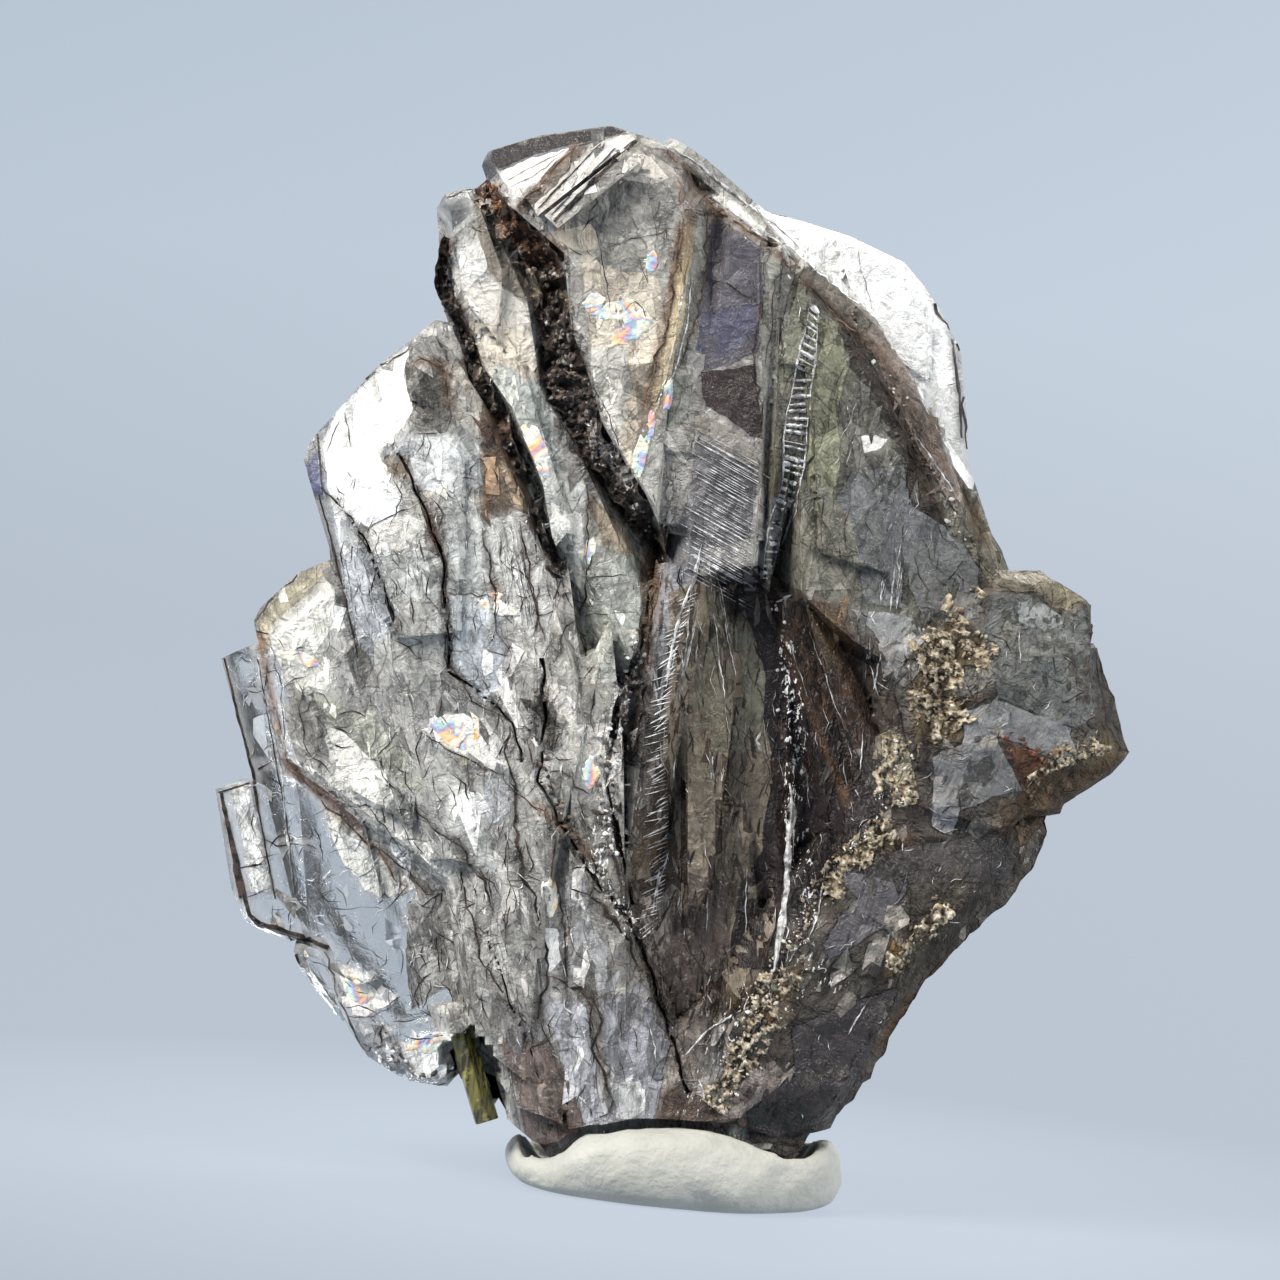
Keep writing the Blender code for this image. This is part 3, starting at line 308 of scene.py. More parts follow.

# Colours seen on the front, laid over the grounds in order: colour, finish, outline in tenths of a millimetre.
# They paint light and shade with the crystal's own colours: the near-white patches are painted reflections of
# the lamps, the orange and yellow ones beside them painted glints, and the near-black polished ones in the
# hollow and the lobe painted shade and dark reflections
PATCHES = table("""
Top of the spire
#3C3838 polished -51 315 -46 320 -34 324 -15 328 -2 327 -6 325 -20 321 -34 318 -46 312 -50 311
#77787A polished -45 314 -21 322 -6 325 -2 326 -20 321 -34 317 -46 312
#EAE7E3 pearly -45 312 -33 318 -21 321 -27 315 -34 306 -38 301 -41 304 -43 309
#6B635B veiled -38 301 -27 315 -20 321 -16 321 -23 311 -32 299
#C9C4BE pearly -34 300 -29 297 -10 318 -2 325 -6 325 -12 322 -23 311
#F1EFEC pearly -28 297 -25 297 -10 314 -1 323 -2 324 -10 319
#F4F2EF pearly -23 308 -12 321 -6 324 -15 316 -24 304
#8D8B87 veiled -25 296 -19 303 0 323 6 321 14 316 20 306 14 303 3 300 -12 295 -23 295
#BFBBB4 polished -6 311 -2 319 4 318 9 311 3 308
#8F7E74 veiled 11 310 18 311 20 306 12 303
#C4B9AA polished -26 295 -15 297 -12 290 -18 288 -24 290
#7B7B78 veiled -14 296 -2 298 11 302 8 295 -2 292 -11 288
#9A9892 veiled -12 289 8 295 6 281 -6 282 -10 285
#BDB5A8 veiled -18 288 -6 282 6 281 8 265 -6 258 -15 259 -17 273
#B2B0AA veiled -15 259 -4 259 -2 248 -6 227 -10 235 -14 248
#C1B7A7 veiled -4 259 8 265 4 252 0 235 -4 221 -7 227 -2 248
#6E5B49 polished 11 297 15 297 10 277 8 265 4 248 2 235 -1 237 4 254 8 275
#D6C3A0 polished 15 298 18 297 15 281 13 269 10 252 4 234 2 235 5 248 8 265 11 279
#83847E veiled 18 300 22 300 20 281 18 265 16 251 14 238 8 231 10 252 14 269 15 281
Violet column
#57555C polished 22 300 37 290 38 273 36 258 28 254 17 251 18 279
#4F4F60 polished 19 269 35 273 36 265 25 256 17 258
#3A3232 polished 19 251 35 254 38 231 34 232 25 238 20 241
#594746 polished 26 249 34 252 36 243 28 240
#77706A veiled 17 239 38 223 35 219 17 227
#69686B veiled 18 233 38 225 36 217 35 211 33 201 25 198 19 199 11 203 15 212
#8D8984 polished 17 238 21 238 38 227 38 222 27 226 17 231
#8E8E89 veiled 38 290 43 287 42 269 40 254 41 242 39 242 36 256 38 273
#7C7B76 veiled 44 285 48 284 44 265 42 248 40 254 42 269
#777779 polished 40 214 46 211 43 196 40 186 36 190 38 201
Open fissures
#6B4731 matt -51 311 -44 308 -41 300 -34 296 -25 291 -23 287 -27 284 -29 281 -33 280 -38 288 -44 297 -46 306
#8A5A38 matt -46 307 -43 307 -41 300 -41 294 -44 298
#392C25 matt -33 281 -24 281 -23 269 -20 262 -16 258 -15 248 -11 239 -17 239 -12 230 -9 221 -3 214 4 206 8 202 5
 196 -1 202 -9 210 -16 219 -22 230 -26 241 -33 250 -31 262
#A29C98 polished -17 240 -12 240 -6 228 -2 217 -3 214 -9 222 -14 230
#8F8C8A polished -26 281 -20 283 -17 278 -19 269 -22 273
#4C372B matt -60 255 -52 258 -48 248 -40 235 -37 229 -34 217 -30 203 -23 192 -25 189 -32 197 -33 202 -42 227 -48
 229 -49 245 -54 249
#6A5443 veiled -49 229 -40 228 -34 210 -44 209 -48 206 -49 217
#8A7A68 veiled -44 226 -38 221 -34 210 -43 209
Thin blade left of the spire
#9DA2A4 clear -64 305 -53 308 -52 306 -52 298 -58 293 -60 299 -64 302
#8B847A veiled -52 306 -46 305 -44 297 -38 286 -34 279 -33 273 -38 275 -45 281 -48 285 -49 296
#E4E2DE polished -57 288 -49 292 -47 284 -53 276 -58 279
#D7D3CC polished -53 277 -44 279 -36 273 -34 267 -42 265 -51 268 -54 273
#C2BBB0 veiled -52 267 -34 265 -32 256 -32 248 -43 254 -50 256
#B0B5B3 veiled -44 254 -32 249 -27 238 -25 221 -32 227 -39 238 -46 248
#5F4230 matt -60 294 -57 292 -60 285 -58 277 -55 273 -52 265 -50 256 -54 258 -60 272 -62 277 -62 284
Upper left blade
#8D8C89 veiled -62 272 -57 268 -52 259 -56 255 -60 255 -72 255 -69 261
#6F6D69 veiled -72 255 -67 254 -60 254 -58 240 -60 234 -68 233 -71 238
#55534F veiled -69 254 -61 253 -59 241 -66 235
#A5A29C veiled -60 255 -56 255 -50 245 -49 231 -56 233 -58 240
#8C9196 veiled -103 226 -100 233 -93 242 -91 244 -81 254 -70 261 -72 258 -80 253 -92 242 -98 232
#F8F9FA polished -98 229 -93 241 -80 254 -71 260 -73 254 -70 240 -75 233 -80 227 -78 219 -73 212 -75 206 -83 204
 -93 210 -96 216
#565A7C polished -104 224 -99 228 -96 215 -99 212 -102 214
#7B7C7F clear -102 214 -96 214 -94 202 -91 192 -86 167 -89 169 -95 194
#C3C7CC veiled -95 212 -90 208 -83 198 -75 172 -73 162 -86 165 -91 192 -94 202
#F2F3F3 polished -95 212 -91 209 -89 202 -85 198 -91 196 -93 202
#DAD8D3 polished -85 203 -72 208 -66 206 -65 198 -72 196 -81 195
#A3A5A8 veiled -80 227 -71 233 -68 232 -70 226 -79 226
#6E6255 veiled -79 226 -70 226 -70 218 -75 219 -78 221
#C6C9CA veiled -70 231 -57 233 -49 229 -48 217 -56 212 -69 217 -70 225
#A98F66 veiled -66 221 -61 222 -59 216 -64 215
#C2C4C3 veiled -85 196 -67 198 -60 194 -59 175 -60 162 -72 162 -77 181
#B0B0AD veiled -76 183 -60 181 -60 162 -73 162
#6D4B3B matt -66 212 -65 212 -62 202 -60 196 -62 196 -65 202
#B9BCBB veiled -59 212 -49 208 -48 202 -44 185 -43 162 -57 162 -59 181
#C9CED2 veiled -58 183 -45 182 -44 162 -57 162
#86705B veiled -49 229 -44 227 -44 208 -47 206 -49 208
#C9C9C6 veiled -47 206 -40 208 -34 202 -29 173 -34 170 -42 181
#BDBDBA veiled -38 208 -33 202 -27 189 -24 188 -29 171 -31 181
#B6B9B5 veiled -33 221 -17 217 -16 202 -18 185 -23 190 -29 202 -34 217
#DDDDD9 polished -27 212 -18 208 -17 196 -23 196 -28 203
#9EA39D veiled -15 194 -1 194 0 177 -16 176 -18 183
#A2937F veiled -17 217 -8 208 -1 196 -6 194 -15 204
#B9BDC2 veiled -93 194 -83 194 -75 174 -71 156 -85 165 -91 179
#757678 veiled -96 194 -93 194 -86 166 -89 169 -94 183
Rear left blades
#A9B1BA clear -131 164 -121 166 -120 158 -129 156
#8C9197 clear -129 156 -120 160 -114 131 -122 128
#84888A clear -122 128 -114 131 -111 106 -109 91 -115 90
#B9BEC6 clear -133 122 -128 123 -124 108 -122 88 -126 88 -131 111
#D3D4D2 veiled -128 123 -122 124 -117 101 -115 90 -122 90 -124 108
Lower left blade
#8F8A79 veiled -120 175 -117 178 -98 195 -96 191 -106 181 -116 172 -119 171
#7B6658 veiled -121 170 -116 171 -113 156 -109 133 -112 131 -117 153
#A07A58 matt -120 171 -116 172 -115 166 -119 167
#DAD9D3 polished -115 170 -103 179 -96 189 -93 179 -91 173 -96 172 -100 166 -112 166
#CFCFCA veiled -113 166 -98 166 -94 158 -96 153 -106 156 -110 156
#9B9C93 veiled -106 156 -94 151 -79 142 -71 131 -65 121 -75 125 -88 138 -96 144
#9C9A95 veiled -109 156 -102 155 -98 142 -98 128 -106 132 -109 142
#EAE9E3 polished -97 142 -92 141 -83 132 -79 127 -75 121 -79 115 -88 119 -94 127
#DDDBD4 veiled -106 128 -94 127 -83 115 -75 117 -71 106 -79 108 -85 111 -96 121
#BFC3C8 clear -111 128 -101 123 -93 114 -85 106 -88 90 -108 88
#D4D3CC veiled -99 118 -92 114 -81 100 -73 90 -81 90 -92 100
#6B5148 veiled -112 132 -107 132 -101 127 -94 122 -85 114 -83 109 -86 108 -93 114 -102 123 -110 127
#7B756D veiled -85 111 -79 103 -71 98 -62 92 -65 90 -75 97 -83 103
#BDBCB7 veiled -79 108 -65 111 -48 106 -47 90 -60 90 -71 98
#AFAFAB veiled -79 125 -65 121 -48 108 -58 110 -71 117
#8F908E veiled -79 155 -67 156 -54 152 -46 146 -42 139 -49 144 -60 148 -75 150
#F4F1EC polished -67 142 -60 146 -54 147 -49 144 -44 138 -41 128 -48 131 -58 136
#E8A93A polished -55 144 -48 143 -49 138 -54 139
#E9DD8C polished -54 138 -48 135 -49 131 -54 133
#F3F3F2 polished -59 122 -51 123 -48 118 -52 110 -56 111
#C5C8CA veiled -51 127 -41 127 -40 117 -46 112
#B7B9B8 veiled -65 108 -48 112 -44 100 -46 90 -56 96
#BFC5CC veiled -58 175 -44 179 -42 169 -40 158 -47 150 -54 158 -59 166
#B5B5B2 veiled -75 174 -60 169 -58 160 -79 158 -85 167
#28241F matt -36 150 -32 151 -29 155 -27 150 -24 144 -26 136 -29 135 -30 144 -33 149
#B5BAC2 clear -109 106 -88 108 -79 92 -70 88 -71 71 -81 69 -94 71 -99 74 -107 78
#CFCFCB veiled -96 110 -83 110 -69 92 -79 89 -85 92
#F2F0EC polished -94 66 -91 68 -88 67 -75 59 -77 56 -85 52 -89 53
#E0A060 polished -92 68 -89 62 -84 53 -86 53 -91 61
#A7A8AA veiled -89 51 -79 49 -71 40 -71 33 -83 36 -88 46
#F2F2F0 polished -75 42 -69 46 -60 48 -58 42 -65 33 -71 36
#8E8D8A veiled -72 88 -58 90 -58 77 -60 62 -71 54 -73 71
Foot
#B8B7B3 veiled -81 119 -60 109 -47 96 -42 67 -54 75 -62 90 -81 104
#8C8B88 veiled -70 85 -57 90 -54 75 -46 62 -42 58 -44 46 -56 58 -68 67
#B3B9C2 clear -81 85 -70 81 -69 67 -62 60 -81 54
#A09F9C veiled -35 94 -27 98 -23 69 -31 67
#A3A4A5 veiled -25 96 -17 100 -15 83 -6 67 -8 62 -12 60 -21 67 -23 81
#F2F3F3 polished -29 81 -25 81 -24 71 -28 67 -30 75
#6E625D veiled -43 46 -31 50 -23 36 -17 21 -25 15 -31 10 -36 17 -38 31
#7A5540 veiled -31 20 -19 25 -17 20 -27 14 -32 10
#7F7D7D veiled -43 58 -31 58 -27 46 -40 46
#A9AAB0 veiled -29 58 -15 58 -15 46 -12 31 -8 20 -16 20 -22 35
#8A8B91 veiled -12 58 2 62 10 50 6 31 4 20 -8 20 -9 35
#BBBCBD veiled -9 33 0 34 2 25 -6 21
#56453D matt 5 31 12 33 23 28 29 17 12 19 4 20
#6B6662 veiled 1 85 10 94 19 85 19 67 8 67 2 73
#57504B veiled 8 67 19 67 23 58 12 48 8 54
#6B6355 veiled -2 109 8 115 10 98 -2 98
Hollow in the middle
#A0A29C veiled -14 198 0 194 1 179 -1 171 -5 158 -19 158 -19 173
#8E8D88 veiled -19 156 -6 156 -8 144 -19 144
#8A7F70 matt 0 194 6 201 6 185 3 173 -1 165 1 179
#5A5654 matt -5 158 1 165 4 156 6 146 6 131 -7 131 -6 148
#86868A veiled 10 203 19 199 17 189 12 179 10 171 8 154 6 146 4 154 4 173 7 188
#6F665A veiled 9 184 29 190 38 160 42 120 41 80 30 60 14 80 9 130
#7A7164 veiled 18 181 19 179 16 169 15 158 11 138 7 131 6 144 10 158 13 170
#6A6557 veiled 20 189 24 191 27 173 28 152 27 133 21 138 17 148 15 158 17 169
#6F6C60 veiled 27 175 35 171 39 158 40 144 33 133 27 135 28 152
#262022 polished 33 179 46 175 54 156 61 144 62 131 42 131 38 144 39 158 35 171
#2B2628 polished 23 193 29 192 39 192 38 183 31 177 27 179 25 186
#615F62 polished 32 192 36 190 36 184 32 184
#5F4A3B veiled 48 184 57 182 64 177 67 167 69 154 75 144 67 138 58 146 54 162
#7C6A52 veiled 52 179 61 176 64 162 57 162
#4E4640 veiled 67 173 73 171 78 156 80 144 77 140 71 144 69 160
#8B8C8D polished 65 179 75 175 81 162 79 156 73 171 68 176
#5C5043 veiled 10 125 35 125 33 106 27 94 14 98
#4E4540 veiled 14 98 29 94 27 67 19 58 6 62 8 83
#2A2425 polished 40 125 75 125 75 117 67 108 62 100 49 75 42 69 27 67 31 94 38 104
Right flank and the blade behind it
#D9D9D6 polished 21 306 25 307 34 300 40 294 48 285 46 284 34 295 25 302
#FBFCFC polished 35 304 50 301 62 297 73 293 83 289 91 279 98 271 101 262 101 250 100 240 102 223 95 229 89 240
 85 250 79 260 73 269 60 279 45 291
#8B857B matt 47 286 53 283 62 276 73 269 77 262 85 250 81 248 75 256 67 265 58 273 50 280
#8C8C86 veiled 38 293 44 288 41 269 39 248 38 229 36 250 38 271
#83847F veiled 44 285 48 283 45 267 42 246 40 250 41 268
#7E7F71 veiled 49 281 53 278 52 269 48 254 44 246 45 267
#6F6A5C veiled 38 223 43 240 44 215 39 212
#86867F veiled 54 271 62 266 62 254 56 248 52 250
#82836F veiled 52 269 60 267 64 254 60 240 62 223 58 208 50 208 51 240
#707273 veiled 65 221 81 223 83 212 77 198 62 198 60 212
#7C7A70 veiled 46 210 54 219 65 206 69 194 65 185 48 185 43 188 47 203
#6D6F70 veiled 65 217 81 221 81 179 69 181 67 194
#696B6E veiled 81 212 94 204 102 195 81 195
#93867F matt 69 266 75 264 85 250 88 240 96 223 101 217 98 209 90 221 83 235 77 248
#4A3D37 matt 61 268 68 265 71 254 81 242 88 225 92 212 96 204 90 206 83 221 79 231 71 246 64 256
#6A5A46 matt 86 242 94 239 95 231 92 229 88 233
#6F6350 matt 99 216 105 214 112 195 106 195 100 207
#F1F0EC polished 65 230 69 232 76 231 74 228 68 227
#696A6A polished 80 200 100 199 105 190 105 176 96 175 88 175 83 185
#8E9091 polished 68 178 78 177 88 175 89 170 81 164 75 172
Broken lobe
#6A6C6B matt 110 184 123 183 130 176 138 179 143 170 142 160 144 150 135 142 123 146 110 152 106 165 105 173
#807A6A matt 102 197 110 197 117 192 127 190 138 181 129 179 121 184 110 185 106 190
#8A8D8E polished 117 181 125 180 131 175 125 172 117 175
#55504C matt 131 166 142 160 146 146 138 144 132 153
#7D7E80 polished 100 148 110 151 123 146 133 142 135 133 127 133 117 138 108 140 102 138 99 133
#767677 polished 90 133 100 138 110 138 118 123 108 121 98 117 90 119
#6E614E matt 88 170 96 174 106 171 109 162 106 153 100 148 100 138 90 138 84 140 84 154 85 162
#8D8A83 matt 94 158 102 161 108 162 109 156 102 152 96 153
#6B4A38 matt 110 139 117 138 127 132 134 132 125 127 119 121 115 129
#6F634D matt 134 133 141 139 145 142 153 133 148 131 138 129
#5A4B3B matt 119 121 127 128 138 129 152 133 144 126 135 119 127 114 119 106 108 110 110 119
#A9A18D matt 73 139 79 142 83 133 85 125 80 121 75 127 72 131
#8E8E90 polished 90 121 98 117 96 109 90 112
#3D3A3A polished 68 100 83 106 98 108 110 110 117 102 115 95 69 95
#4A3222 matt 71 104 80 108 90 108 78 104
#565458 polished 58 100 83 94 75 81 58 71 56 76 67 90
#4A453E matt 83 94 98 100 104 88 94 71 85 60 79 62 83 76
#3B3739 polished 47 50 65 58 79 62 73 46 67 33 58 20 50 12 33 15 38 31 48 35
#5C4A38 matt 90 75 97 74 85 52 73 42 71 42 83 62
#6B5B45 matt 62 105 68 110 77 111 85 109 73 106 68 100 64 101
#665742 matt 25 60 30 64 42 67 48 70 52 71 46 58 42 50 35 53 27 54
#7A5A3E matt 36 62 46 67 44 54 35 53
#B4AFAA matt 18 45 25 53 27 50 23 44
#A9A29C matt 12 35 19 35 21 28 15 31
#8C837F matt 29 31 35 38 46 36 42 31 34 25 23 18 22 21 29 26
#7C6238 matt 87 80 91 85 95 89 95 83 89 78
#7C6238 matt 76 76 79 78 82 75 80 67 75 66 77 72
#2D3030 polished 33 24 46 29 54 23 50 15 34 15
""")
PATCH_RIM = 0.12                  # how far a patch's rim fades
PATCH_COVER = 0.93                # share of the ground that a patch hides

# Cracks and edges seen on the front: kind, width in hundredths, path in tenths of a millimetre.
# The edge strokes are dark lines painted along blade edges, where refraction shades them; the pale strokes
# are painted highlights along ridges and striated edges
STROKES = [(kind, int(width) / 100, path) for kind, width, path in table("""
edge 13 -26 297 -1 323
edge 5 -29 297 -6 321
edge 5 -33 299 -12 321
brown 6 -38 301 -31 308 -20 321
edge 4 -17 309 -2 323
pale 4 -43 309 -34 314 -23 320
pale 3 -42 307 -34 311 -25 318
dark 12 -60 295 -58 291 -61 285 -62 278 -59 273 -55 266 -52 258
dark 6 -53 308 -62 305 -64 302 -60 298
dark 5 -14 295 -11 286 -9 271
dark 4 -22 289 -17 288
dark 6 19 281 29 277 36 273
dark 9 38 273 35 258 37 242 38 229
dark 8 21 300 20 290 18 277 16 264 12 252
dark 6 44 286 42 277 40 267 39 254
dark 6 48 284 46 275 44 265 42 252
brown 12 22 300 21 304 25 301 33 295 39 291 46 285
pale 14 22 306 28 301 34 296 42 292 47 287
pale 8 10 321 18 316 25 310 34 303 42 297 49 291
brown 10 15 300 12 285 9 273 6 258 2 242
pale 5 15 285 12 269 8 250 4 238
pale 4 16 281 15 269 11 253 7 242
brown 7 8 319 15 314 20 307
dark 5 -10 289 0 292 11 295
dark 4 -19 258 -10 238 -5 223
pale 5 -19 239 -12 231 -7 222
dark 12 -96 216 -93 212 -89 206 -85 200 -82 193 -78 182 -74 172
dark 7 -92 243 -86 248 -80 254 -71 260
dark 6 -104 224 -102 214 -97 196 -95 193
pale 4 -91 194 -86 166
pale 3 -88 195 -82 165
pale 3 -85 195 -78 165
pale 3 -83 192 -75 165
dark 5 -85 203 -75 208 -66 212
dark 5 -75 219 -73 214 -75 208 -77 202
dark 13 -70 219 -67 214 -65 210 -65 202 -61 196 -59 192 -59 184 -59 178 -60 175 -58 171 -59 162
dark 5 -59 185 -52 183 -45 182
dark 8 -48 204 -47 196 -45 185 -44 175 -40 165
brown 14 -45 186 -43 184 -44 181
dark 7 -37 206 -36 198 -34 190 -32 180 -30 170
pale 3 -45 206 -39 173
dark 2 -44 206 -38 173
pale 3 -42 206 -36 173
dark 2 -42 206 -35 173
pale 3 -40 206 -34 173
dark 2 -40 206 -33 173
pale 3 -39 206 -32 173
dark 2 -38 206 -32 173
dark 6 -15 217 -16 204 -17 192
dark 10 -14 195 -16 188 -19 178 -20 175
dark 6 -29 188 -27 181 -24 188
dark 5 -24 188 -19 175
dark 7 -20 175 -24 171 -27 162
dark 6 -20 174 -17 169 -16 162
dark 4 -15 189 -6 189 0 189
dark 4 -17 177 -8 177 -1 178
brown 14 8 202 6 194 4 181 2 171 2 162
brown 10 -69 254 -67 255 -60 254 -58 241
dark 5 -68 233 -60 234 -58 239
edge 16 -131 121 -129 111 -127 101 -125 88
edge 7 -130 163 -126 146 -121 127 -117 104 -114 88
dark 5 -131 164 -121 167
dark 7 -122 128 -117 130 -114 132
edge 6 -132 121 -122 124
pale 6 -120 166 -117 151 -112 132 -111 121 -110 106 -108 90
dark 8 -59 193 -60 184 -59 175 -59 162 -55 157 -49 150 -42 146
dark 6 -68 141 -58 135 -48 130 -41 128
dark 12 -41 145 -40 133 -38 123 -37 110 -36 96
dark 8 -29 167 -30 158 -29 155
dark 7 -36 197 -33 183 -29 169
dark 5 -111 153 -106 156 -104 151 -107 151
dark 6 -104 155 -104 146 -103 138 -101 133 -96 128
dark 5 -102 154 -98 152 -96 148
dark 5 -101 146 -97 142 -101 138
dark 7 -76 117 -69 117 -62 111 -57 108 -54 104 -51 99 -47 97
dark 5 -56 106 -54 90
dark 5 -47 97 -46 90
dark 6 -121 170 -120 175 -117 178 -106 189 -98 195
dark 6 -117 107 -111 105 -103 106 -100 105
dark 5 -85 119 -79 112 -71 100
brown 8 -111 132 -102 123 -93 114 -85 107 -79 101 -73 92
dark 5 -119 172 -114 166 -111 156 -109 133
pale 10 19 199 17 189 12 177 10 167 8 155
pale 7 18 181 16 171 14 158 12 151
pale 5 9 204 7 194 6 185
dark 7 22 191 25 179 27 167 27 154
dark 5 20 188 22 179 25 165 27 149
pale 3 23 191 26 179 28 169
dark 10 11 169 15 166 19 167
dark 4 12 141 18 137
dark 20 47 179 52 165 57 146
brown 8 48 175 53 160 58 146
dark 10 49 182 55 166 60 151 64 138
brown 5 51 181 56 166 61 151
brown 3 48 209 58 192
brown 3 50 209 60 191
brown 3 52 208 61 189
brown 3 54 210 65 185
pale 3 79 202 77 179
pale 3 76 192 74 182
pale 3 80 194 79 179
pale 4 71 171 71 158
pale 5 74 165 72 154
pale 3 70 165 70 157
dark 6 65 177 69 165 75 146 80 141
pale 10 38 141 36 138 38 134
pale 12 42 181 45 182 47 183
dark 16 81 288 88 285 92 277 96 270 99 264 102 250 102 240 103 224 105 214
dark 4 34 304 50 300 62 296 73 292 81 288
dark 3 67 292 70 283 73 271
brown 8 50 280 58 272 67 264 75 256 81 246 88 233 96 221
dark 8 53 277 62 269 69 258 77 246 85 235 92 223 96 219
dark 5 64 254 61 248 61 238 65 229
dark 5 62 225 65 221
pale 5 85 233 92 222 96 217 99 212
dark 5 93 186 98 192 101 195
dark 6 106 200 105 194 106 184 106 175
pale 4 75 194 74 180
pale 4 79 196 77 178
pale 3 81 194 79 179
dark 6 106 186 119 185 125 183
dark 9 80 163 88 166
dark 8 78 154 80 144 82 139
pale 4 69 142 68 129
pale 3 117 172 117 162
dark 5 98 125 98 106
dark 7 125 132 130 132 135 132
dark 7 84 136 90 137 98 135
dark 7 90 151 102 150 106 152
pale 5 90 112 94 110 98 111
pale 4 89 118 93 114 98 114
dark 10 -55 101 -55 92 -50 80 -47 70 -42 59
dark 10 -61 109 -56 108 -53 101 -47 96 -45 86
dark 5 -41 104 -40 94 -41 85 -41 73
dark 16 -37 106 -35 98 -33 88 -31 76 -30 67 -31 53
dark 7 -27 112 -26 100 -24 90 -23 76 -22 66
dark 12 -27 66 -23 63 -14 60 -12 52 -13 44 -9 27
dark 5 -24 90 -21 80 -19 73 -15 70
dark 9 -15 62 -15 52 -14 43
dark 22 -16 103 -14 101 -15 91 -8 84 -4 78 2 69 7 60 9 54
dark 26 -15 117 -8 115 -5 119
dark 30 -8 107 -5 100 -6 93 -2 86 1 75
brown 12 -32 119 -26 115 -19 109 -16 103
dark 5 -58 88 -56 80
dark 5 -64 78 -54 73
dark 6 -81 104 -76 100 -70 95 -66 91 -58 91
dark 5 -31 52 -27 43 -23 34
dark 5 -45 20 -42 15
pale 4 2 53 5 44 5 38
dark 6 -19 123 -17 112 -14 109
pale 5 6 100 4 85
pale 20 46 125 47 117 46 104 45 91 43 78 41 68
pale 4 9 104 6 94 5 85
pale 3 33 99 33 88 33 73
pale 5 57 99 55 86 52 78
pale 7 14 42 21 49 31 56
pale 5 12 34 18 34 20 28
pale 6 70 58 67 53 64 48
dark 6 0 66 6 58 9 50 14 44
dark 10 33 14 44 14 52 12
edge 20 -129 112 -126 98 -122 83 -119 80 -109 77 -102 75 -97 73
edge 10 -110 76 -108 73 -106 68
dark 10 -98 72 -96 67 -92 54 -86 41 -83 36
edge 5 -127 97 -118 99
dark 5 -124 88 -115 91
dark 5 -75 58 -77 56 -85 52 -91 52
dark 6 -81 51 -75 42 -71 36
dark 5 -71 33 -65 30 -56 32
dark 4 -99 102 -100 92 -98 86
dark 4 -108 82 -101 88 -94 92
dark 4 -98 86 -89 86 -79 85
dark 7 -46 21 -42 14
edge 5 -119 163 -109 106
edge 6 -99 214 -92 186 -87 164
edge 10 98 263 100 248 101 232
edge 7 140 173 143 156 145 143 150 135
edge 5 -129 169 -120 172 -115 171
edge 5 -101 244 -99 226 -98 214
pale 3 21 194 28 138
pale 3 24 184 31 153
pale 3 16 189 13 156
brown 6 44 172 54 144 64 119
edge 5 50 175 72 122
pale 3 52 172 63 142
pale 4 70 166 74 150
pale 3 46 169 52 151
""")]

# Broken crystal in the open fissures: stations of place and half width, in hundredths of a millimetre
RUBBLE = [
    trace("-490 3100 21 -440 3030 33 -400 2950 47 -330 2890 57 -280 2840 47 -270 2800 36", 3, 100),
    trace("-280 2760 38 -260 2690 44 -240 2610 47 -230 2540 83 -210 2470 83 -190 2390 69 -150 2300 57 -90 2220 "
     "50 -40 2140 52 20 2060 47 70 2000 23", 3, 100),
    trace("-560 2560 31 -520 2490 44 -470 2410 38 -420 2310 35 -380 2240 27 -350 2150 19 -320 2040 23 -290 "
     "1960 29 -230 1890 12", 3, 100),
    trace("-590 2930 12 -610 2860 19 -610 2780 23 -580 2720 21 -540 2650 19 -520 2580 17", 3, 100),
    trace("-290 1550 10 -300 1500 31 -290 1440 38 -270 1380 25 -270 1350 8", 3, 100),
    trace("-50 1190 31 -80 1150 42 -60 1090 31 -40 1020 40 -60 940 35 -20 860 35 -10 790 27 10 730 23 50 650 "
     "17", 3, 100),
    trace("-320 1190 12 -250 1140 19 -180 1080 21 -140 1010 27 -140 920 31 -80 840 23 -30 780 23", 3, 100),
    trace("30 1660 21 -10 1580 35 -30 1490 42 -40 1410 35 -50 1320 31", 3, 100),
    trace("650 2650 21 690 2580 35 750 2480 38 810 2390 38 860 2290 35 910 2190 31 940 2080 25", 3, 100),
]


# ---- The crystal's mesh ----

def cut_in_bands(bm, faces, turn, low, high, spacing):
    """Halve a band of faces until each is no wider than spacing, so that soft tints have corners to lie on."""
    if high - low <= spacing * 1.01 or not faces:
        return
    middle = (low + high) / 2
    spot = place(middle * math.cos(turn), middle * math.sin(turn))
    direction = (place(math.cos(turn), math.sin(turn)) - place(0, 0)).normalized()
    corners = dict.fromkeys(v for f in faces for v in f.verts)
    edges = dict.fromkeys(e for f in faces for e in f.edges)
    geometry = [*corners, *edges, *faces]
    cut = bmesh.ops.bisect_plane(bm, geom=geometry, dist=1e-8, plane_co=spot, plane_no=direction)["geom"]
    halves = [], []
    for face in cut:
        if isinstance(face, bmesh.types.BMFace):
            halves[(face.calc_center_median() - spot).dot(direction) > 0].append(face)
    cut_in_bands(bm, halves[0], turn, low, middle, spacing)
    cut_in_bands(bm, halves[1], turn, middle, high, spacing)


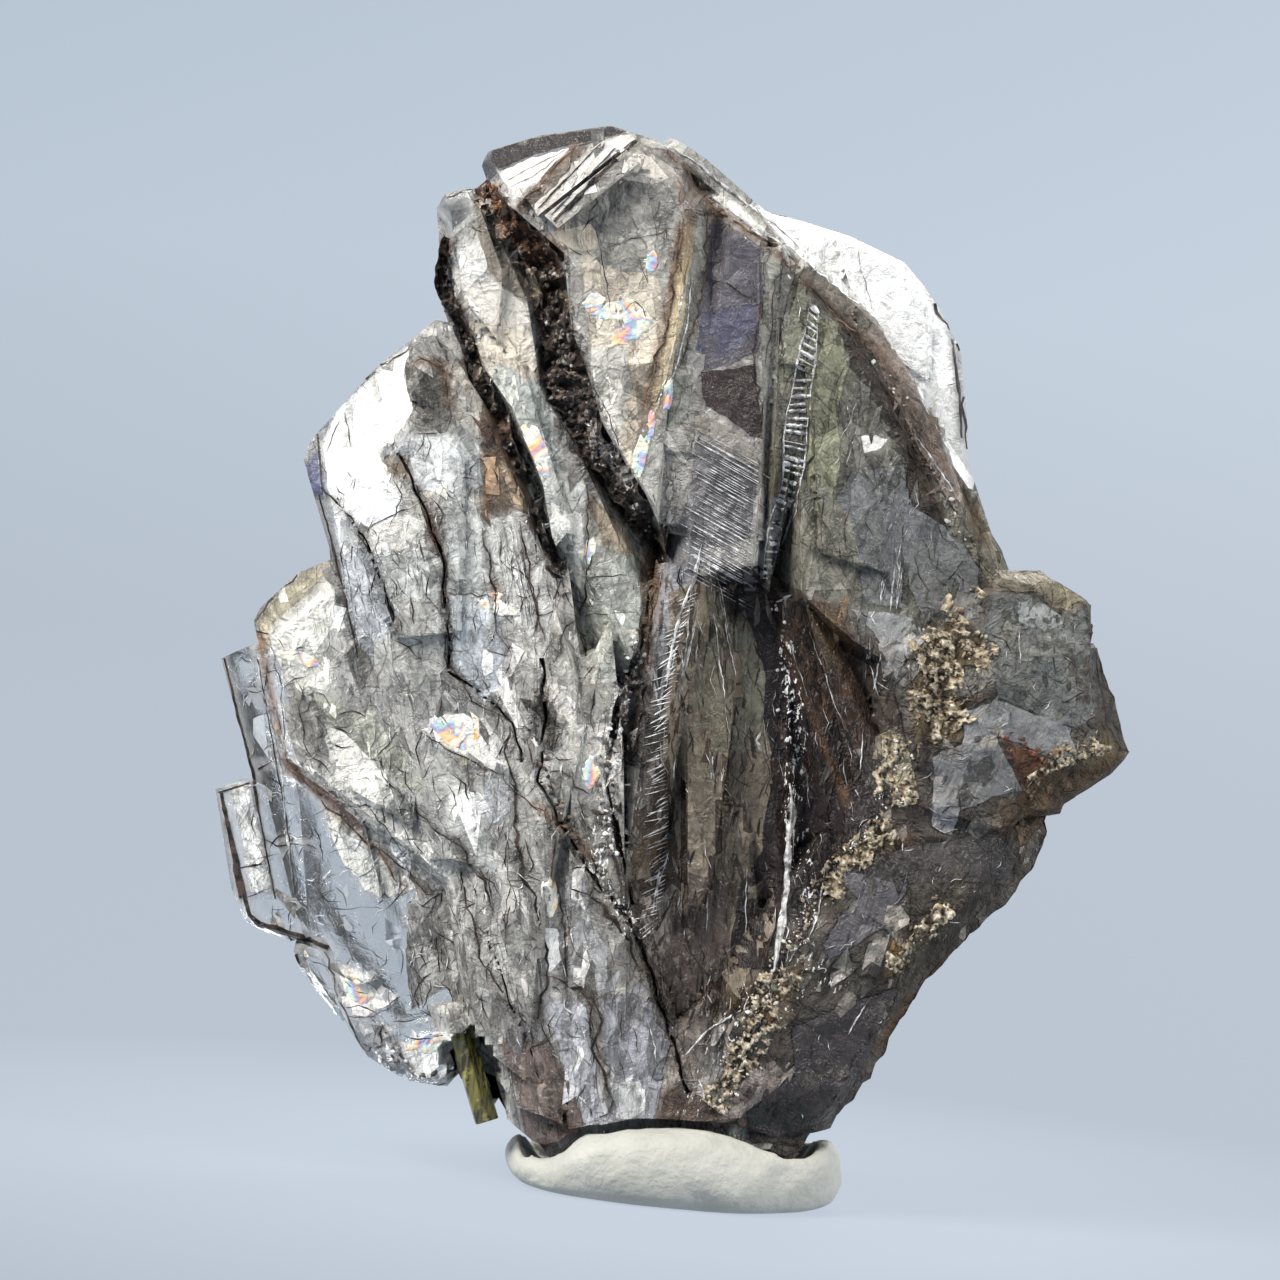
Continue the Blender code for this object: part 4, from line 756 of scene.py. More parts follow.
def refined_cluster(edge_width, spacing):
    """Return the cluster's mesh with flat facets, fine bright edges and a facet number on every face."""
    bm = bmesh.new()
    bm.from_mesh(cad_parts["axinite_cluster"].data)
    bmesh.ops.remove_doubles(bm, verts=bm.verts, dist=MERGE_REACH)
    bmesh.ops.dissolve_limit(bm, angle_limit=math.radians(0.6), verts=bm.verts, edges=bm.edges)
    bmesh.ops.dissolve_degenerate(bm, edges=bm.edges, dist=8e-6)
    number = bm.faces.layers.int.new("facet")
    facets = []
    for i, face in enumerate(bm.faces):
        face[number] = i
        facets.append((face.calc_center_median_weighted(), face.normal.copy()))
    sharp = [e for e in bm.edges if e.is_manifold and e.calc_face_angle() > 0.3 and e.calc_length() > 0.5 * MM]
    bmesh.ops.bevel(bm, geom=sharp, offset=edge_width * MM, offset_type="OFFSET", segments=1, profile=0.5,
                    affect="EDGES", clamp_overlap=True, material=-1)
    cut_in_bands(bm, bm.faces[:], 0.0, -16.0, 16.0, spacing)
    cut_in_bands(bm, bm.faces[:], math.pi / 2, 0.0, 34.0, spacing)
    bmesh.ops.triangulate(bm, faces=bm.faces)
    bm.verts.ensure_lookup_table()
    bm.normal_update()
    chip_broken_edge(bm)
    return bm, number, facets


def chip_broken_edge(bm):
    """Break the lobe's outer edge back in uneven chips, and roughen its broken faces a little."""
    spots = in_cluster_frame(np.array([v.co[:] for v in bm.verts]))
    flat = spots[:, [0, 2]]
    for path, reach, depth in CHIPPED_EDGES:
        closeness = np.clip(1 - distance_to_path(flat, path) / reach, 0, 1) ** 0.8
        for i in np.flatnonzero(closeness > 0):
            vert = bm.verts[int(i)]
            across, _, up = spots[i]
            bite = noise.fractal(Vector((across * 0.5, up * 0.5, 3.0)), 0.9, 2.3, 4)
            inward = Vector(CHIP_MIDDLE - flat[i]).normalized() * closeness[i] * depth
            inward *= max(0.15, 0.75 + 0.9 * bite)
            vert.co += place(across + inward.x, up + inward.y) - place(across, up)
    for i in np.flatnonzero(inside_outline(flat, PRISM_NICHE) & (spots[:, 1] < -0.5)):
        bm.verts[int(i)].co.y = -0.45 * MM
    for i in np.flatnonzero(inside_outline(flat, BROKEN_LOBE)):
        vert = bm.verts[int(i)]
        spot = vert.co / MM
        dent = noise.fractal(spot * 0.7, 0.9, 2.1, 3) + 0.6 * abs(noise.noise(spot * 1.6 + Vector((4, 4, 4))))
        vert.co -= vert.normal * (dent + 0.2) * 0.16 * MM
    nearness = np.clip(1 - np.hypot(flat[:, 0] - LOBE_TIP[0], flat[:, 1] - LOBE_TIP[1]) / TIP_REACH, 0, 1)
    for i in np.flatnonzero(nearness):
        across, depth, up = in_cluster_frame(np.array([bm.verts[int(i)].co[:]]))[0]
        pull = min(1.0, nearness[i] * 1.25)
        bm.verts[int(i)].co = place(across + (LOBE_TIP[0] - across) * pull * 0.75,
                                    up + (LOBE_TIP[1] - up) * pull, depth * (1 - 0.5 * pull))


def ground_of_facet(middle, normal):
    """Choose the ground colour and finish of a facet from where its middle is and which way it faces."""
    across, _, up = middle
    grounds = GROUNDS if normal.y < BACK_FACING else BACK_GROUNDS
    for hex_colour, finish, outline in grounds:
        if inside_outline(np.array([[across, up]]), outline)[0]:
            return linear(hex_colour)[:3] + FINISHES[finish]
    return linear("#8F8D8A")[:3] + FINISHES["veiled"]


def lay_patches(values, flat):
    """Lay the patches over the ground values of each spot, soft at their rims."""
    for hex_colour, finish, outline in PATCHES:
        near = around(flat, outline, PATCH_RIM)
        if not near.any():
            continue
        weight = np.clip(depth_inside(flat[near], outline) / (2 * PATCH_RIM) + 0.5, 0, 1)[:, None] * PATCH_COVER
        target = np.array(linear(hex_colour)[:3] + FINISHES[finish])
        values[near] = values[near] * (1 - weight) + target * weight
    # Painted shade and light: scale whole places darker, as the hollow, or lighter
    for keep, outline in TONE_SHADE_AND_LIGHT:
        weight = np.clip(depth_inside(flat, outline) / 0.5 + 0.5, 0, 1)[:, None]
        values[:, :3] *= 1 - weight * (1 - np.array(keep))


def lay_crack_shade_and_stain(values, flat):
    """Paint shade beside each open crack, a little darker, and brown iron stain beside a stained one."""
    for kind, width, path in STROKES:
        if kind == "pale" or width < 0.06:
            continue
        near = around(flat, path, 0.5)
        if not near.any():
            continue
        closeness = np.clip(1 - (distance_to_path(flat[near], path) - width / 2) / (0.12 + width), 0, 1)
        # Painted shade beside open cracks and edges, real iron stain beside stained ones
        strength, colour = (0.75, "#5C4636") if kind == "brown" else (0.5, "#3A3532")
        weight = (closeness * strength)[:, None]
        values[near, :3] = values[near, :3] * (1 - weight) + np.array(linear(colour)[:3]) * weight
        values[near, 3:4] *= 1 - 0.8 * weight


def corner_places(mesh):
    """Return the place of every face corner in the cluster's frame."""
    vertex_of_corner = np.empty(len(mesh.loops), dtype=np.int32)
    mesh.loops.foreach_get("vertex_index", vertex_of_corner)
    places = np.empty(len(mesh.vertices) * 3, dtype=np.float32)
    mesh.vertices.foreach_get("co", places)
    return in_cluster_frame(places.reshape(-1, 3).astype(float))[vertex_of_corner]


def write_paint(mesh, spots, values, stain):
    """Write tint, finish, striae, stain, sparkle and fan coordinates on every face corner."""
    flat = spots[:, [0, 2]]
    sparkle = np.zeros(len(flat))
    for strength, reach, path in SPARKLES:
        closeness = np.clip(1.6 - distance_to_path(flat, path) / reach, 0, 1)
        sparkle = np.maximum(sparkle, closeness * strength * (spots[:, 1] < 1.5))
    from_root = flat - np.array(FAN_ROOT)
    turn = np.arctan2(from_root[:, 0], from_root[:, 1])
    ones = np.ones(len(flat))
    for name, columns in (("tint", (values[:, :3], ones)), ("finish", (values[:, 3:6], ones)),
                          ("lines", (values[:, 6], stain, sparkle, ones)),
                          ("fan", (turn * 34.0, spots[:, 1], np.hypot(*from_root.T), ones))):
        layer = mesh.attributes.new(name, "FLOAT_COLOR", "CORNER")
        layer.data.foreach_set("color", np.column_stack(columns).astype(np.float32).ravel())


def paint_cluster(mesh, facet_of_face, facets):
    """Paint the crystal: grounds by facet, then the patches in front and iron stain behind."""
    grounds = [ground_of_facet(in_cluster_frame(np.array([middle]))[0], normal) for middle, normal in facets]
    spots = corner_places(mesh)
    normals = np.empty(len(mesh.polygons) * 3, dtype=np.float32)
    mesh.polygons.foreach_get("normal", normals)
    facing = np.repeat(normals.reshape(-1, 3)[:, 1], 3)
    values = np.repeat(np.array(grounds)[facet_of_face], 3, axis=0)
    flat = spots[:, [0, 2]]
    front = np.flatnonzero(facing < BACK_FACING)
    front_values = values[front]
    lay_patches(front_values, flat[front])
    lay_crack_shade_and_stain(front_values, flat[front])
    values[front] = front_values
    stain = np.zeros(len(flat))
    for half_width, path in BACK_STAINS:
        closeness = np.clip(1.5 - distance_to_path(flat, path) / (2 * half_width), 0, 1.5) / 1.5
        stain = np.maximum(stain, closeness * BACK_STAIN_STRENGTH * (facing >= BACK_FACING))
    write_paint(mesh, spots, values, stain)


def pour(bm, whole):
    """Add one bmesh to another and free it."""
    mesh = bpy.data.meshes.new("poured")
    bm.to_mesh(mesh)
    bm.free()
    whole.from_mesh(mesh)
    bpy.data.meshes.remove(mesh)


def new_piece(name, bm, material):
    """Make an object of a bmesh that rides with the specimen."""
    mesh = bpy.data.meshes.new(name)
    bm.to_mesh(mesh)
    bm.free()
    piece = bpy.data.objects.new(name, mesh)
    bpy.context.scene.collection.objects.link(piece)
    mesh.materials.append(material)
    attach(piece, "root")
    return piece


# ---- Materials ----

def millimetres(add, stretch=(1.0, 1.0, 1.0), turn=(0.0, 0.0, 0.0)):
    """Return Object coordinates counted in millimetres, stretched or turned if wanted."""
    spot = add("TexCoord", out="Object")
    return add("Mapping", spot, {"Scale": [part / MM for part in stretch], "Rotation": turn})


def axinite_material(settings, name="natural_axinite", thick=True):
    """Natural axinite: a glassy borosilicate crystal, clear grey to smoky violet, veiled and cracked inside.

    Cleavage faces are glossy and see-through, healed fractures show as white veils, open ones as dark hair
    lines between small tilted facets, and broken faces are frosted, with white specks painted in as glints.
    Iron oxide stains the walls of the fissures brown. Only thick crystal takes up light on the way through.
    """
    material, add, finish = new_material(name)
    spot = millimetres(add)
    tint = add("Attribute", attribute_name="tint")
    surface = add("Attribute", attribute_name="finish")
    lines = add("Attribute", attribute_name="lines")
    fan = add("Attribute", attribute_name="fan")
    clear = add("SeparateColor", surface, out="Red")
    rough = add("SeparateColor", surface, out="Green")
    veil = add("SeparateColor", surface, out="Blue")
    striae = add("SeparateColor", lines, out="Red")
    stain = add("SeparateColor", lines, out="Green")
    sparkle = add("SeparateColor", lines, out="Blue")

    # Fibres along the blades, about 0.3 mm across and 3 mm long, and a finer mottling
    fibre = add("TexNoise", {"Vector": add("Mapping", fan, {"Scale": (1.0, 0.6, 0.09)}), "Scale": 3.4,
                             "Detail": 4.0, "Roughness": 0.65})
    bent = add("TexNoise", {"Vector": spot, "Scale": 0.5, "Detail": 2.0}, out="Color")
    bent = add("VectorMath SUBTRACT", bent, (0.5, 0.5, 0.5))
    bent = add("VectorMath SCALE", bent, {3: 0.5})
    bent = add("VectorMath", fan, bent)
    mottle = add("TexNoise", {"Vector": add("Mapping", bent, {"Scale": (1.0, 1.0, 0.75)}), "Scale": 2.1,
                              "Detail": 6.0, "Roughness": 0.72})

    # Cleavage cells: large ones 0.8 by 1.6 mm and small ones 0.3 by 0.5 mm, each with its own tone and tilt
    tilts, tones, rims = [], [], []
    for scale, stretch, shift in ((1.25, 0.5, 0.0), (3.3, 0.65, 7.0)):
        cells = add("Mapping", bent, {"Scale": (scale, scale, scale * stretch), "Location": (shift,) * 3})
        cell = add("TexVoronoi", {"Vector": cells, "Scale": 1.0}, out="Color")
        centre = cell.node.outputs["Position"]
        leaning = add("VectorMath SUBTRACT", cell, (0.5, 0.5, 0.5))
        local = add("VectorMath SUBTRACT", cells, centre)
        tilts.append(add("VectorMath DOT_PRODUCT", local, leaning, out="Value"))
        tones.append(add("SeparateColor", cell, out="Red"))
        rims.append(add("TexVoronoi", {"Vector": cells, "Scale": 1.0}, feature="DISTANCE_TO_EDGE"))
    tilt = add("Math MULTIPLY_ADD", tilts[1], 0.35, tilts[0])
    tone = add("Math MULTIPLY_ADD", tones[1], 0.7, tones[0])
    wide_rim = add("MapRange", rims[0], 0.006, 0.03, 1.0, 0.0)
    fine_rim = add("MapRange", rims[1], 0.01, 0.06, 1.0, 0.0)
    here = add("MapRange", mottle, 0.49, 0.56)
    there = add("MapRange", mottle, 0.5, 0.44)
    fine_rim = add("Math MULTIPLY", fine_rim, there)
    wide_rim = add("Math MULTIPLY", wide_rim, here)
    cracked = add("Math MAXIMUM", wide_rim, add("Math MULTIPLY", fine_rim, 0.8))
    cracked = add("Math MULTIPLY", cracked, veil)

    # Tone: cells, fibres and mottling together, stronger where the crystal is veiled
    grain = add("TexNoise", {"Vector": add("Mapping", bent, {"Scale": (7.0, 6.0, 4.2)}), "Scale": 1.0,
                             "Detail": 3.0, "Roughness": 0.75})
    wave = add("Math MULTIPLY_ADD", fibre, 0.3, mottle)
    wave = add("Math MULTIPLY_ADD", tone, 0.6, wave)
    wave = add("Math MULTIPLY_ADD", grain, 1.0, wave)
    shade = add("Math SUBTRACT", wave, 1.63)
    swing = add("Math MULTIPLY_ADD", veil, 1.35, 0.1)
    shade = add("Math MULTIPLY_ADD", shade, swing, 1.0)
    shade = add("Clamp", shade, 0.5, 1.9)
    colour = add("VectorMath SCALE", tint, {3: shade})
    colour = add("Mix RGBA", add("Math MULTIPLY", cracked, 0.85), {6: colour, 7: linear(settings.crack_hex)})
    soaked = add("Math MULTIPLY_ADD", mottle, 1.2, -0.6)
    soaked = add("MapRange", add("Math", stain, soaked), 0.4, 0.75)
    rust = add("Mix RGBA", add("MapRange", mottle, 0.4, 0.6), {6: linear("#2C211B"), 7: linear("#7D6350")})
    colour = add("Mix RGBA", soaked, {6: colour, 7: rust})

    # Painted glints: white specks of 0.2 mm and less where the surface is shattered and sparkles
    speck = add("TexNoise", {"Vector": add("Mapping", fan, {"Scale": (1.0, 1.0, 0.6)}), "Scale": 5.2,
                             "Detail": 3.0, "Roughness": 0.7})
    few = add("MapRange", sparkle, {3: 0.8, 4: 0.56})
    speck = add("Math SUBTRACT", speck, few)
    speck = add("MapRange", speck, 0.0, 0.03)
    speck = add("Math MULTIPLY", speck, add("MapRange", sparkle, 0.0, 0.1))
    colour = add("Mix RGBA", speck, {6: colour, 7: linear("#F3F3F1")})

    blocked = add("Math MAXIMUM", soaked, cracked)
    passing = add("Math SUBTRACT", 1.0, blocked, use_clamp=True)
    veiling = add("MapRange", mottle, 0.45, 0.6, 0.0, 0.8)
    veiling = add("Math MULTIPLY", veiling, veil)
    veiling = add("Math SUBTRACT", 1.0, veiling)
    passing = add("Math MULTIPLY", passing, veiling)
    passing = add("Math MULTIPLY", passing, clear)
    colour = add("Mix RGBA", add("MapRange", passing, 0.32, 0.9, {4: 0.9}), {6: colour, 7: linear("#FAFBFC")})
    gloss = add("Math MULTIPLY", soaked, 0.5)
    gloss = add("Math MAXIMUM", gloss, rough)
    patchy = add("MapRange", mottle, 0.35, 0.65, 0.6, 1.5)
    gloss = add("Math MULTIPLY", gloss, patchy)

    # Relief: tilted cells, conchoidal ripples that are rougher on broken faces, and striae along the blades
    ripple = add("TexNoise", {"Vector": spot, "Scale": 1.7, "Detail": 5.0, "Roughness": 0.65,
                              "Distortion": 0.6})
    depth = add("Math MULTIPLY_ADD", rough, 5.4, 0.1)
    relief = add("Math MULTIPLY", ripple, depth)
    ribbed = add("TexNoise", {"Vector": add("Mapping", fan, {"Scale": (6.0, 2.0, 0.15)}), "Scale": 1.0,
                              "Detail": 3.0})
    relief = add("Math MULTIPLY_ADD", ribbed, add("Math MULTIPLY", striae, 0.5), relief)
    relief = add("Math MULTIPLY_ADD", tilt, add("Math MULTIPLY", veil, 0.5), relief)
    bumped = add("Bump", {"Height": relief, "Distance": 0.35 * MM})
    finish(Base_Color=colour, Transmission_Weight=passing, Roughness=gloss, IOR=1.68, Specular_IOR_Level=0.16,
           Normal=bumped)
    if thick:
        smoke = add("VolumeAbsorption", {"Color": linear(settings.smoke_hex),
                                         "Density": settings.smoke_density})
        tree = material.node_tree
        tree.links.new(smoke, tree.nodes["Material Output"].inputs["Volume"])
    return material


def fracture_material(name, deep_hex, skin_hex):
    """Open fracture: light is lost inside it, so it reads as a dark line with a skin of iron stain."""
    material, add, finish = new_material(name)
    spot = millimetres(add)
    patches = add("TexNoise", {"Vector": spot, "Scale": 2.4, "Detail": 5.0})
    patches = add("MapRange", patches, 0.44, 0.62)
    colour = add("Mix RGBA", patches, {6: linear(deep_hex), 7: linear(skin_hex)})
    grain = add("TexNoise", {"Vector": spot, "Scale": 12.0})
    finish(Base_Color=colour, Roughness=0.4, Specular_IOR_Level=0.3,
           Normal=add("Bump", {"Height": grain, "Distance": 0.05 * MM}))
    return material


def growth_edge_material():
    """Striated growth edge: fine polished steps, painted pale as the highlight of the light they throw back."""
    material, add, finish = new_material("striated_growth_edge")
    spot = millimetres(add)
    broken = add("TexNoise", {"Vector": spot, "Scale": 3.4, "Detail": 5.0})
    broken = add("MapRange", broken, 0.4, 0.6)
    # Painted highlight: pale grey to near white, broken up
    colour = add("Mix RGBA", broken, {6: linear("#7C7A7A"), 7: linear("#EDEEF0")})
    grain = add("TexNoise", {"Vector": spot, "Scale": 9.0})
    finish(Base_Color=colour, Roughness=0.14, Transmission_Weight=0.2, IOR=1.68,
           Normal=add("Bump", {"Height": grain, "Distance": 0.08 * MM}))
    return material


def rubble_material():
    """Iron-stained fracture rubble: limonite skins on broken crystal, brown and rough, with a few glints painted
    in.
    """
    material, add, finish = new_material("iron_stained_rubble")
    spot = millimetres(add)
    lumps = add("TexNoise", {"Vector": spot, "Scale": 3.2, "Detail": 7.0, "Roughness": 0.72, "Distortion": 0.6})
    painted_glints = add("TexNoise", {"Vector": add("Mapping", spot, {"Location": (5, 5, 5)}), "Scale": 5.5,
                              "Detail": 3.0})
    painted_glints = add("MapRange", painted_glints, 0.58, 0.66)
    height = add("SeparateXYZ", spot, out="Z")
    rusty = add("MapRange", height, 26.5, 29.5)
    skin = add("Mix RGBA", rusty, {6: linear("#5E524A"), 7: linear("#835A40")})
    colour = add("MapRange", lumps, 0.42, 0.62)
    colour = add("Mix RGBA", colour, {6: linear("#1E1714"), 7: skin})
    # Painted glints: pale spots on the rubble, which are also glossier
    colour = add("Mix RGBA", add("Math MULTIPLY", painted_glints, 0.75), {6: colour, 7: linear("#CFCAC4")})
    finish(Base_Color=colour, Roughness=add("MapRange", painted_glints, {3: 0.5, 4: 0.12}),
           Normal=add("Bump", {"Height": lumps, "Distance": 0.35 * MM}))
    return material


def crumb_material():
    """Crumbs of stained crystal, limonite and clay: earthy and matt, with a few glassy broken faces."""
    material, add, finish = new_material("limonite_crumbs")
    spot = millimetres(add)
    tint = add("Attribute", attribute_name="tint")
    grain = add("TexNoise", {"Vector": spot, "Scale": 7.0, "Detail": 4.0, "Roughness": 0.7})
    shade = add("MapRange", grain, 0.35, 0.65, 0.55, 1.35)
    colour = add("VectorMath SCALE", tint, {3: shade})
    glassy = add("TexNoise", {"Vector": add("Mapping", spot, {"Location": (3, 6, 1)}), "Scale": 4.0})
    finish(Base_Color=colour, Roughness=add("MapRange", glassy, 0.5, 0.6, 0.7, 0.12),
           Normal=add("Bump", {"Height": grain, "Distance": 0.1 * MM}))
    return material


def film_material():
    """Thin air film in a fracture: interference colours from cream and gold to pink and blue, and glossy."""
    material, add, finish = new_material("interference_film")
    spot = millimetres(add)
    drift = add("TexNoise", {"Vector": spot, "Scale": 0.9, "Detail": 2.0, "Distortion": 0.6})
    # Painted glint: the film's bright interference colours are painted into its base colour
    film = add("ValToRGB", add("MapRange", drift, 0.3, 0.7))
    stops = ((0.0, "#DADBD8"), (0.3, "#EDE9DF"), (0.4, "#EBCB95"), (0.47, "#DDA5A6"), (0.54, "#A6AFDB"),
             (0.62, "#B8D4D0"), (0.72, "#EAE4D0"), (1.0, "#C9CCCC"))
    elements = film.node.color_ramp.elements
    for position, hex_colour in stops[1:-1]:
        elements.new(position).color = linear(hex_colour)
    elements[0].color, elements[-1].color = linear(stops[0][1]), linear(stops[-1][1])
    grain = add("TexNoise", {"Vector": spot, "Scale": 4.0, "Detail": 5.0})
    finish(Base_Color=film, Roughness=0.2, IOR=1.5,
           Normal=add("Bump", {"Height": grain, "Distance": 0.12 * MM}))
    return material


def putty_material(settings):
    """Mineral tack: kneaded off-white putty, matt and a little waxy, with finger dents and a few specks."""
    material, add, finish = new_material("mineral_tack")
    spot = millimetres(add)
    cloud = add("TexNoise", {"Vector": spot, "Scale": 0.5, "Detail": 4.0})
    colour = add("Mix RGBA", add("MapRange", cloud, 0.35, 0.7), {6: linear(settings.putty_hex),
                                                                 7: linear("#ADAEA9")})
    specks = add("TexNoise", {"Vector": spot, "Scale": 3.2})
    specks = add("MapRange", specks, 0.72, 0.78, {4: 0.5})
    colour = add("Mix RGBA", specks, {6: colour, 7: linear("#8F8B80")})
    dents = add("TexNoise", {"Vector": spot, "Scale": 0.9, "Detail": 5.0})
    grain = add("TexNoise", {"Vector": spot, "Scale": 6.0, "Detail": 4.0})
    relief = add("Math MULTIPLY_ADD", grain, 0.12, dents)
    finish(Base_Color=colour, Roughness=0.62, Subsurface_Weight=0.12, Subsurface_Radius=(1.0, 0.9, 0.8),
           Subsurface_Scale=0.6 * MM, Normal=add("Bump", {"Height": relief, "Distance": 0.25 * MM}))
    return material


def epidote_material(settings):
    """Epidote: a pistachio to blackish-green crystal, glassy, darker along its growth striae."""
    material, add, finish = new_material("natural_epidote")
    streak = add("TexNoise", {"Vector": millimetres(add, (6.0, 6.0, 0.5), (0.0, 0.3, 0.0)), "Scale": 1.0,
                              "Detail": 4.0})
    patch = add("TexNoise", {"Vector": millimetres(add), "Scale": 2.5, "Detail": 4.0})
    colour = add("Mix RGBA", add("MapRange", streak, 0.42, 0.6),
                 {6: linear("#1C1A08"), 7: linear(settings.epidote_hex)})
    # Painted highlights: lighter yellow-green patches at random over the prism
    colour = add("Mix RGBA", add("MapRange", patch, 0.56, 0.7), {6: colour, 7: linear("#A9A35A")})
    finish(Base_Color=colour, Roughness=0.2, IOR=1.74, Transmission_Weight=0.15,
           Normal=add("Bump", {"Height": streak, "Distance": 0.12 * MM}))
    return material


# ---- Where the features lie ----

RIM_TONES = (0.35, 0.5, 0.7, 1.1, 1.3, 1.6)       # of the flakes along a fissure
RUBBLE_ROWS = 15                  # across a bed of rubble
CRUST_SPACING = 0.07              # grid of the crust beds
# Crust colours by the height of a lump: darkest low between the lumps as painted shade, paler towards the tops
CRUST_TONES_AND_SHADE = ((-0.4, "#2A221C"), (-0.1, "#5F5343"), (0.15, "#968870"), (0.4, "#BBAE98"), (0.7, "#D6CDBC"))
PLATE_SPACING = 0.3               # size of the pieces a plate is cut in, to follow the surface
PLATE_STEP = 0.45                 # a plate ends where the surface steps by this much
PLATE_CLEARNESS = 0.6             # a plate passes this share of the light its finish would pass
CRACK_LIFT = 0.036                # lift of the middle of a crack
LIP_LIFT = 0.03                   # lift of the two lips of a crack or an edge
FLAKE_LIFT = 0.022                # lift of a small flake
PLATE_LIFT = 0.006                # lift of the lowest plate
PLATE_RISE = 0.00008              # and how much higher each next one lies

# Fields of small cleavage flakes: outline, count, half length, slenderness, tones. Tones above one paint a
# flake lighter, the highest nearly white as a painted glint
FLAKE_FIELDS = [
    (trace("-102 236 -50 300 -10 200 6 180 4 24 -50 24 -84 120"), 640, 0.75, 2.6,
     (0.6, 0.7, 0.8, 0.9, 1.15, 1.35, 1.6, 2.0, 2.8)),
    (trace("-130 170 -108 190 -80 140 -50 60 -80 36 -120 80"), 200, 0.6, 2.2,
     (0.75, 0.85, 1.15, 1.3, 1.6, 2.4)),
    (trace("-56 300 -14 326 20 310 16 200 -10 200"), 190, 0.6, 2.6,
     (0.6, 0.75, 0.85, 1.15, 1.3, 1.5)),
    (trace("8 196 80 164 76 110 46 88 16 26 -3 80"), 520, 0.55, 7.0,
     (0.3, 0.45, 0.6, 0.75, 1.3, 1.6)),
    (RIGHT_FLANK, 150, 0.8, 4.5,
     (0.6, 0.75, 0.85, 1.15, 1.3, 1.45)),
    (trace("74 178 136 184 148 136 94 66 50 20 22 30"), 420, 0.5, 1.7,
     (0.45, 0.6, 0.75, 0.85, 1.15, 1.3, 1.5)),
]

# The same on the back, with the colour and finish they vary
BACK_FLAKE_FIELDS = [
    (trace("-94 210 -40 296 20 310 96 260 84 190 16 30 -54 36"), 620, 1.1, 3.0,
     (0.5, 0.65, 0.8, 1.15, 1.3, 1.6), "#A9A8A4", "veiled"),
    (trace("74 186 134 180 142 136 90 66 50 20 32 40"), 200, 0.8, 1.8,
     (0.5, 0.7, 0.85, 1.2, 1.45), "#615D59", "matt"),
]

# Narrow fissures that broken crystal nearly closes: opening, stations of place and groove width in hundredths
BRIDGED = [
    (0.07, trace("-740 2270 20 -700 2190 30 -650 2090 30 -600 1930 25 -600 1780 20 -580 1600 30 -470 1520 30 "
     "-390 1440 25 -360 1320 20", 3, 100)),
    (0.04, trace("-950 2160 15 -850 2010 25 -800 1890 25 -750 1750 15", 3, 100)),
    (0.09, trace("-300 1640 20 -290 1460 40 -310 1260 35 -240 1120 35 -130 940 35 -30 840 35 40 640 30 100 460 "
     "30 150 300 20", 3, 100)),
    (0.08, trace("30 1860 20 10 1700 30 -70 1480 30 -100 1280 30 -60 1040 25 -20 880 20", 3, 100)),
    (0.04, trace("-470 800 20 -410 600 25 -340 440 25 -290 290 20", 3, 100)),
    (0.03, trace("-270 1920 30 -210 1750 40 -160 1620 40 -140 1490 30", 3, 100)),
    (0.0, trace("220 3090 50 210 3020 70 175 2700 80 145 2400 80 120 2140 80 100 2020 60", 3, 100)),
    (0.0, trace("395 2900 50 395 2600 60 395 2300 60 375 2000 50", 3, 100)),
    (0.0, trace("450 2880 50 485 2780 60 465 2540 55 445 2340 50 425 2100 50", 3, 100)),
]
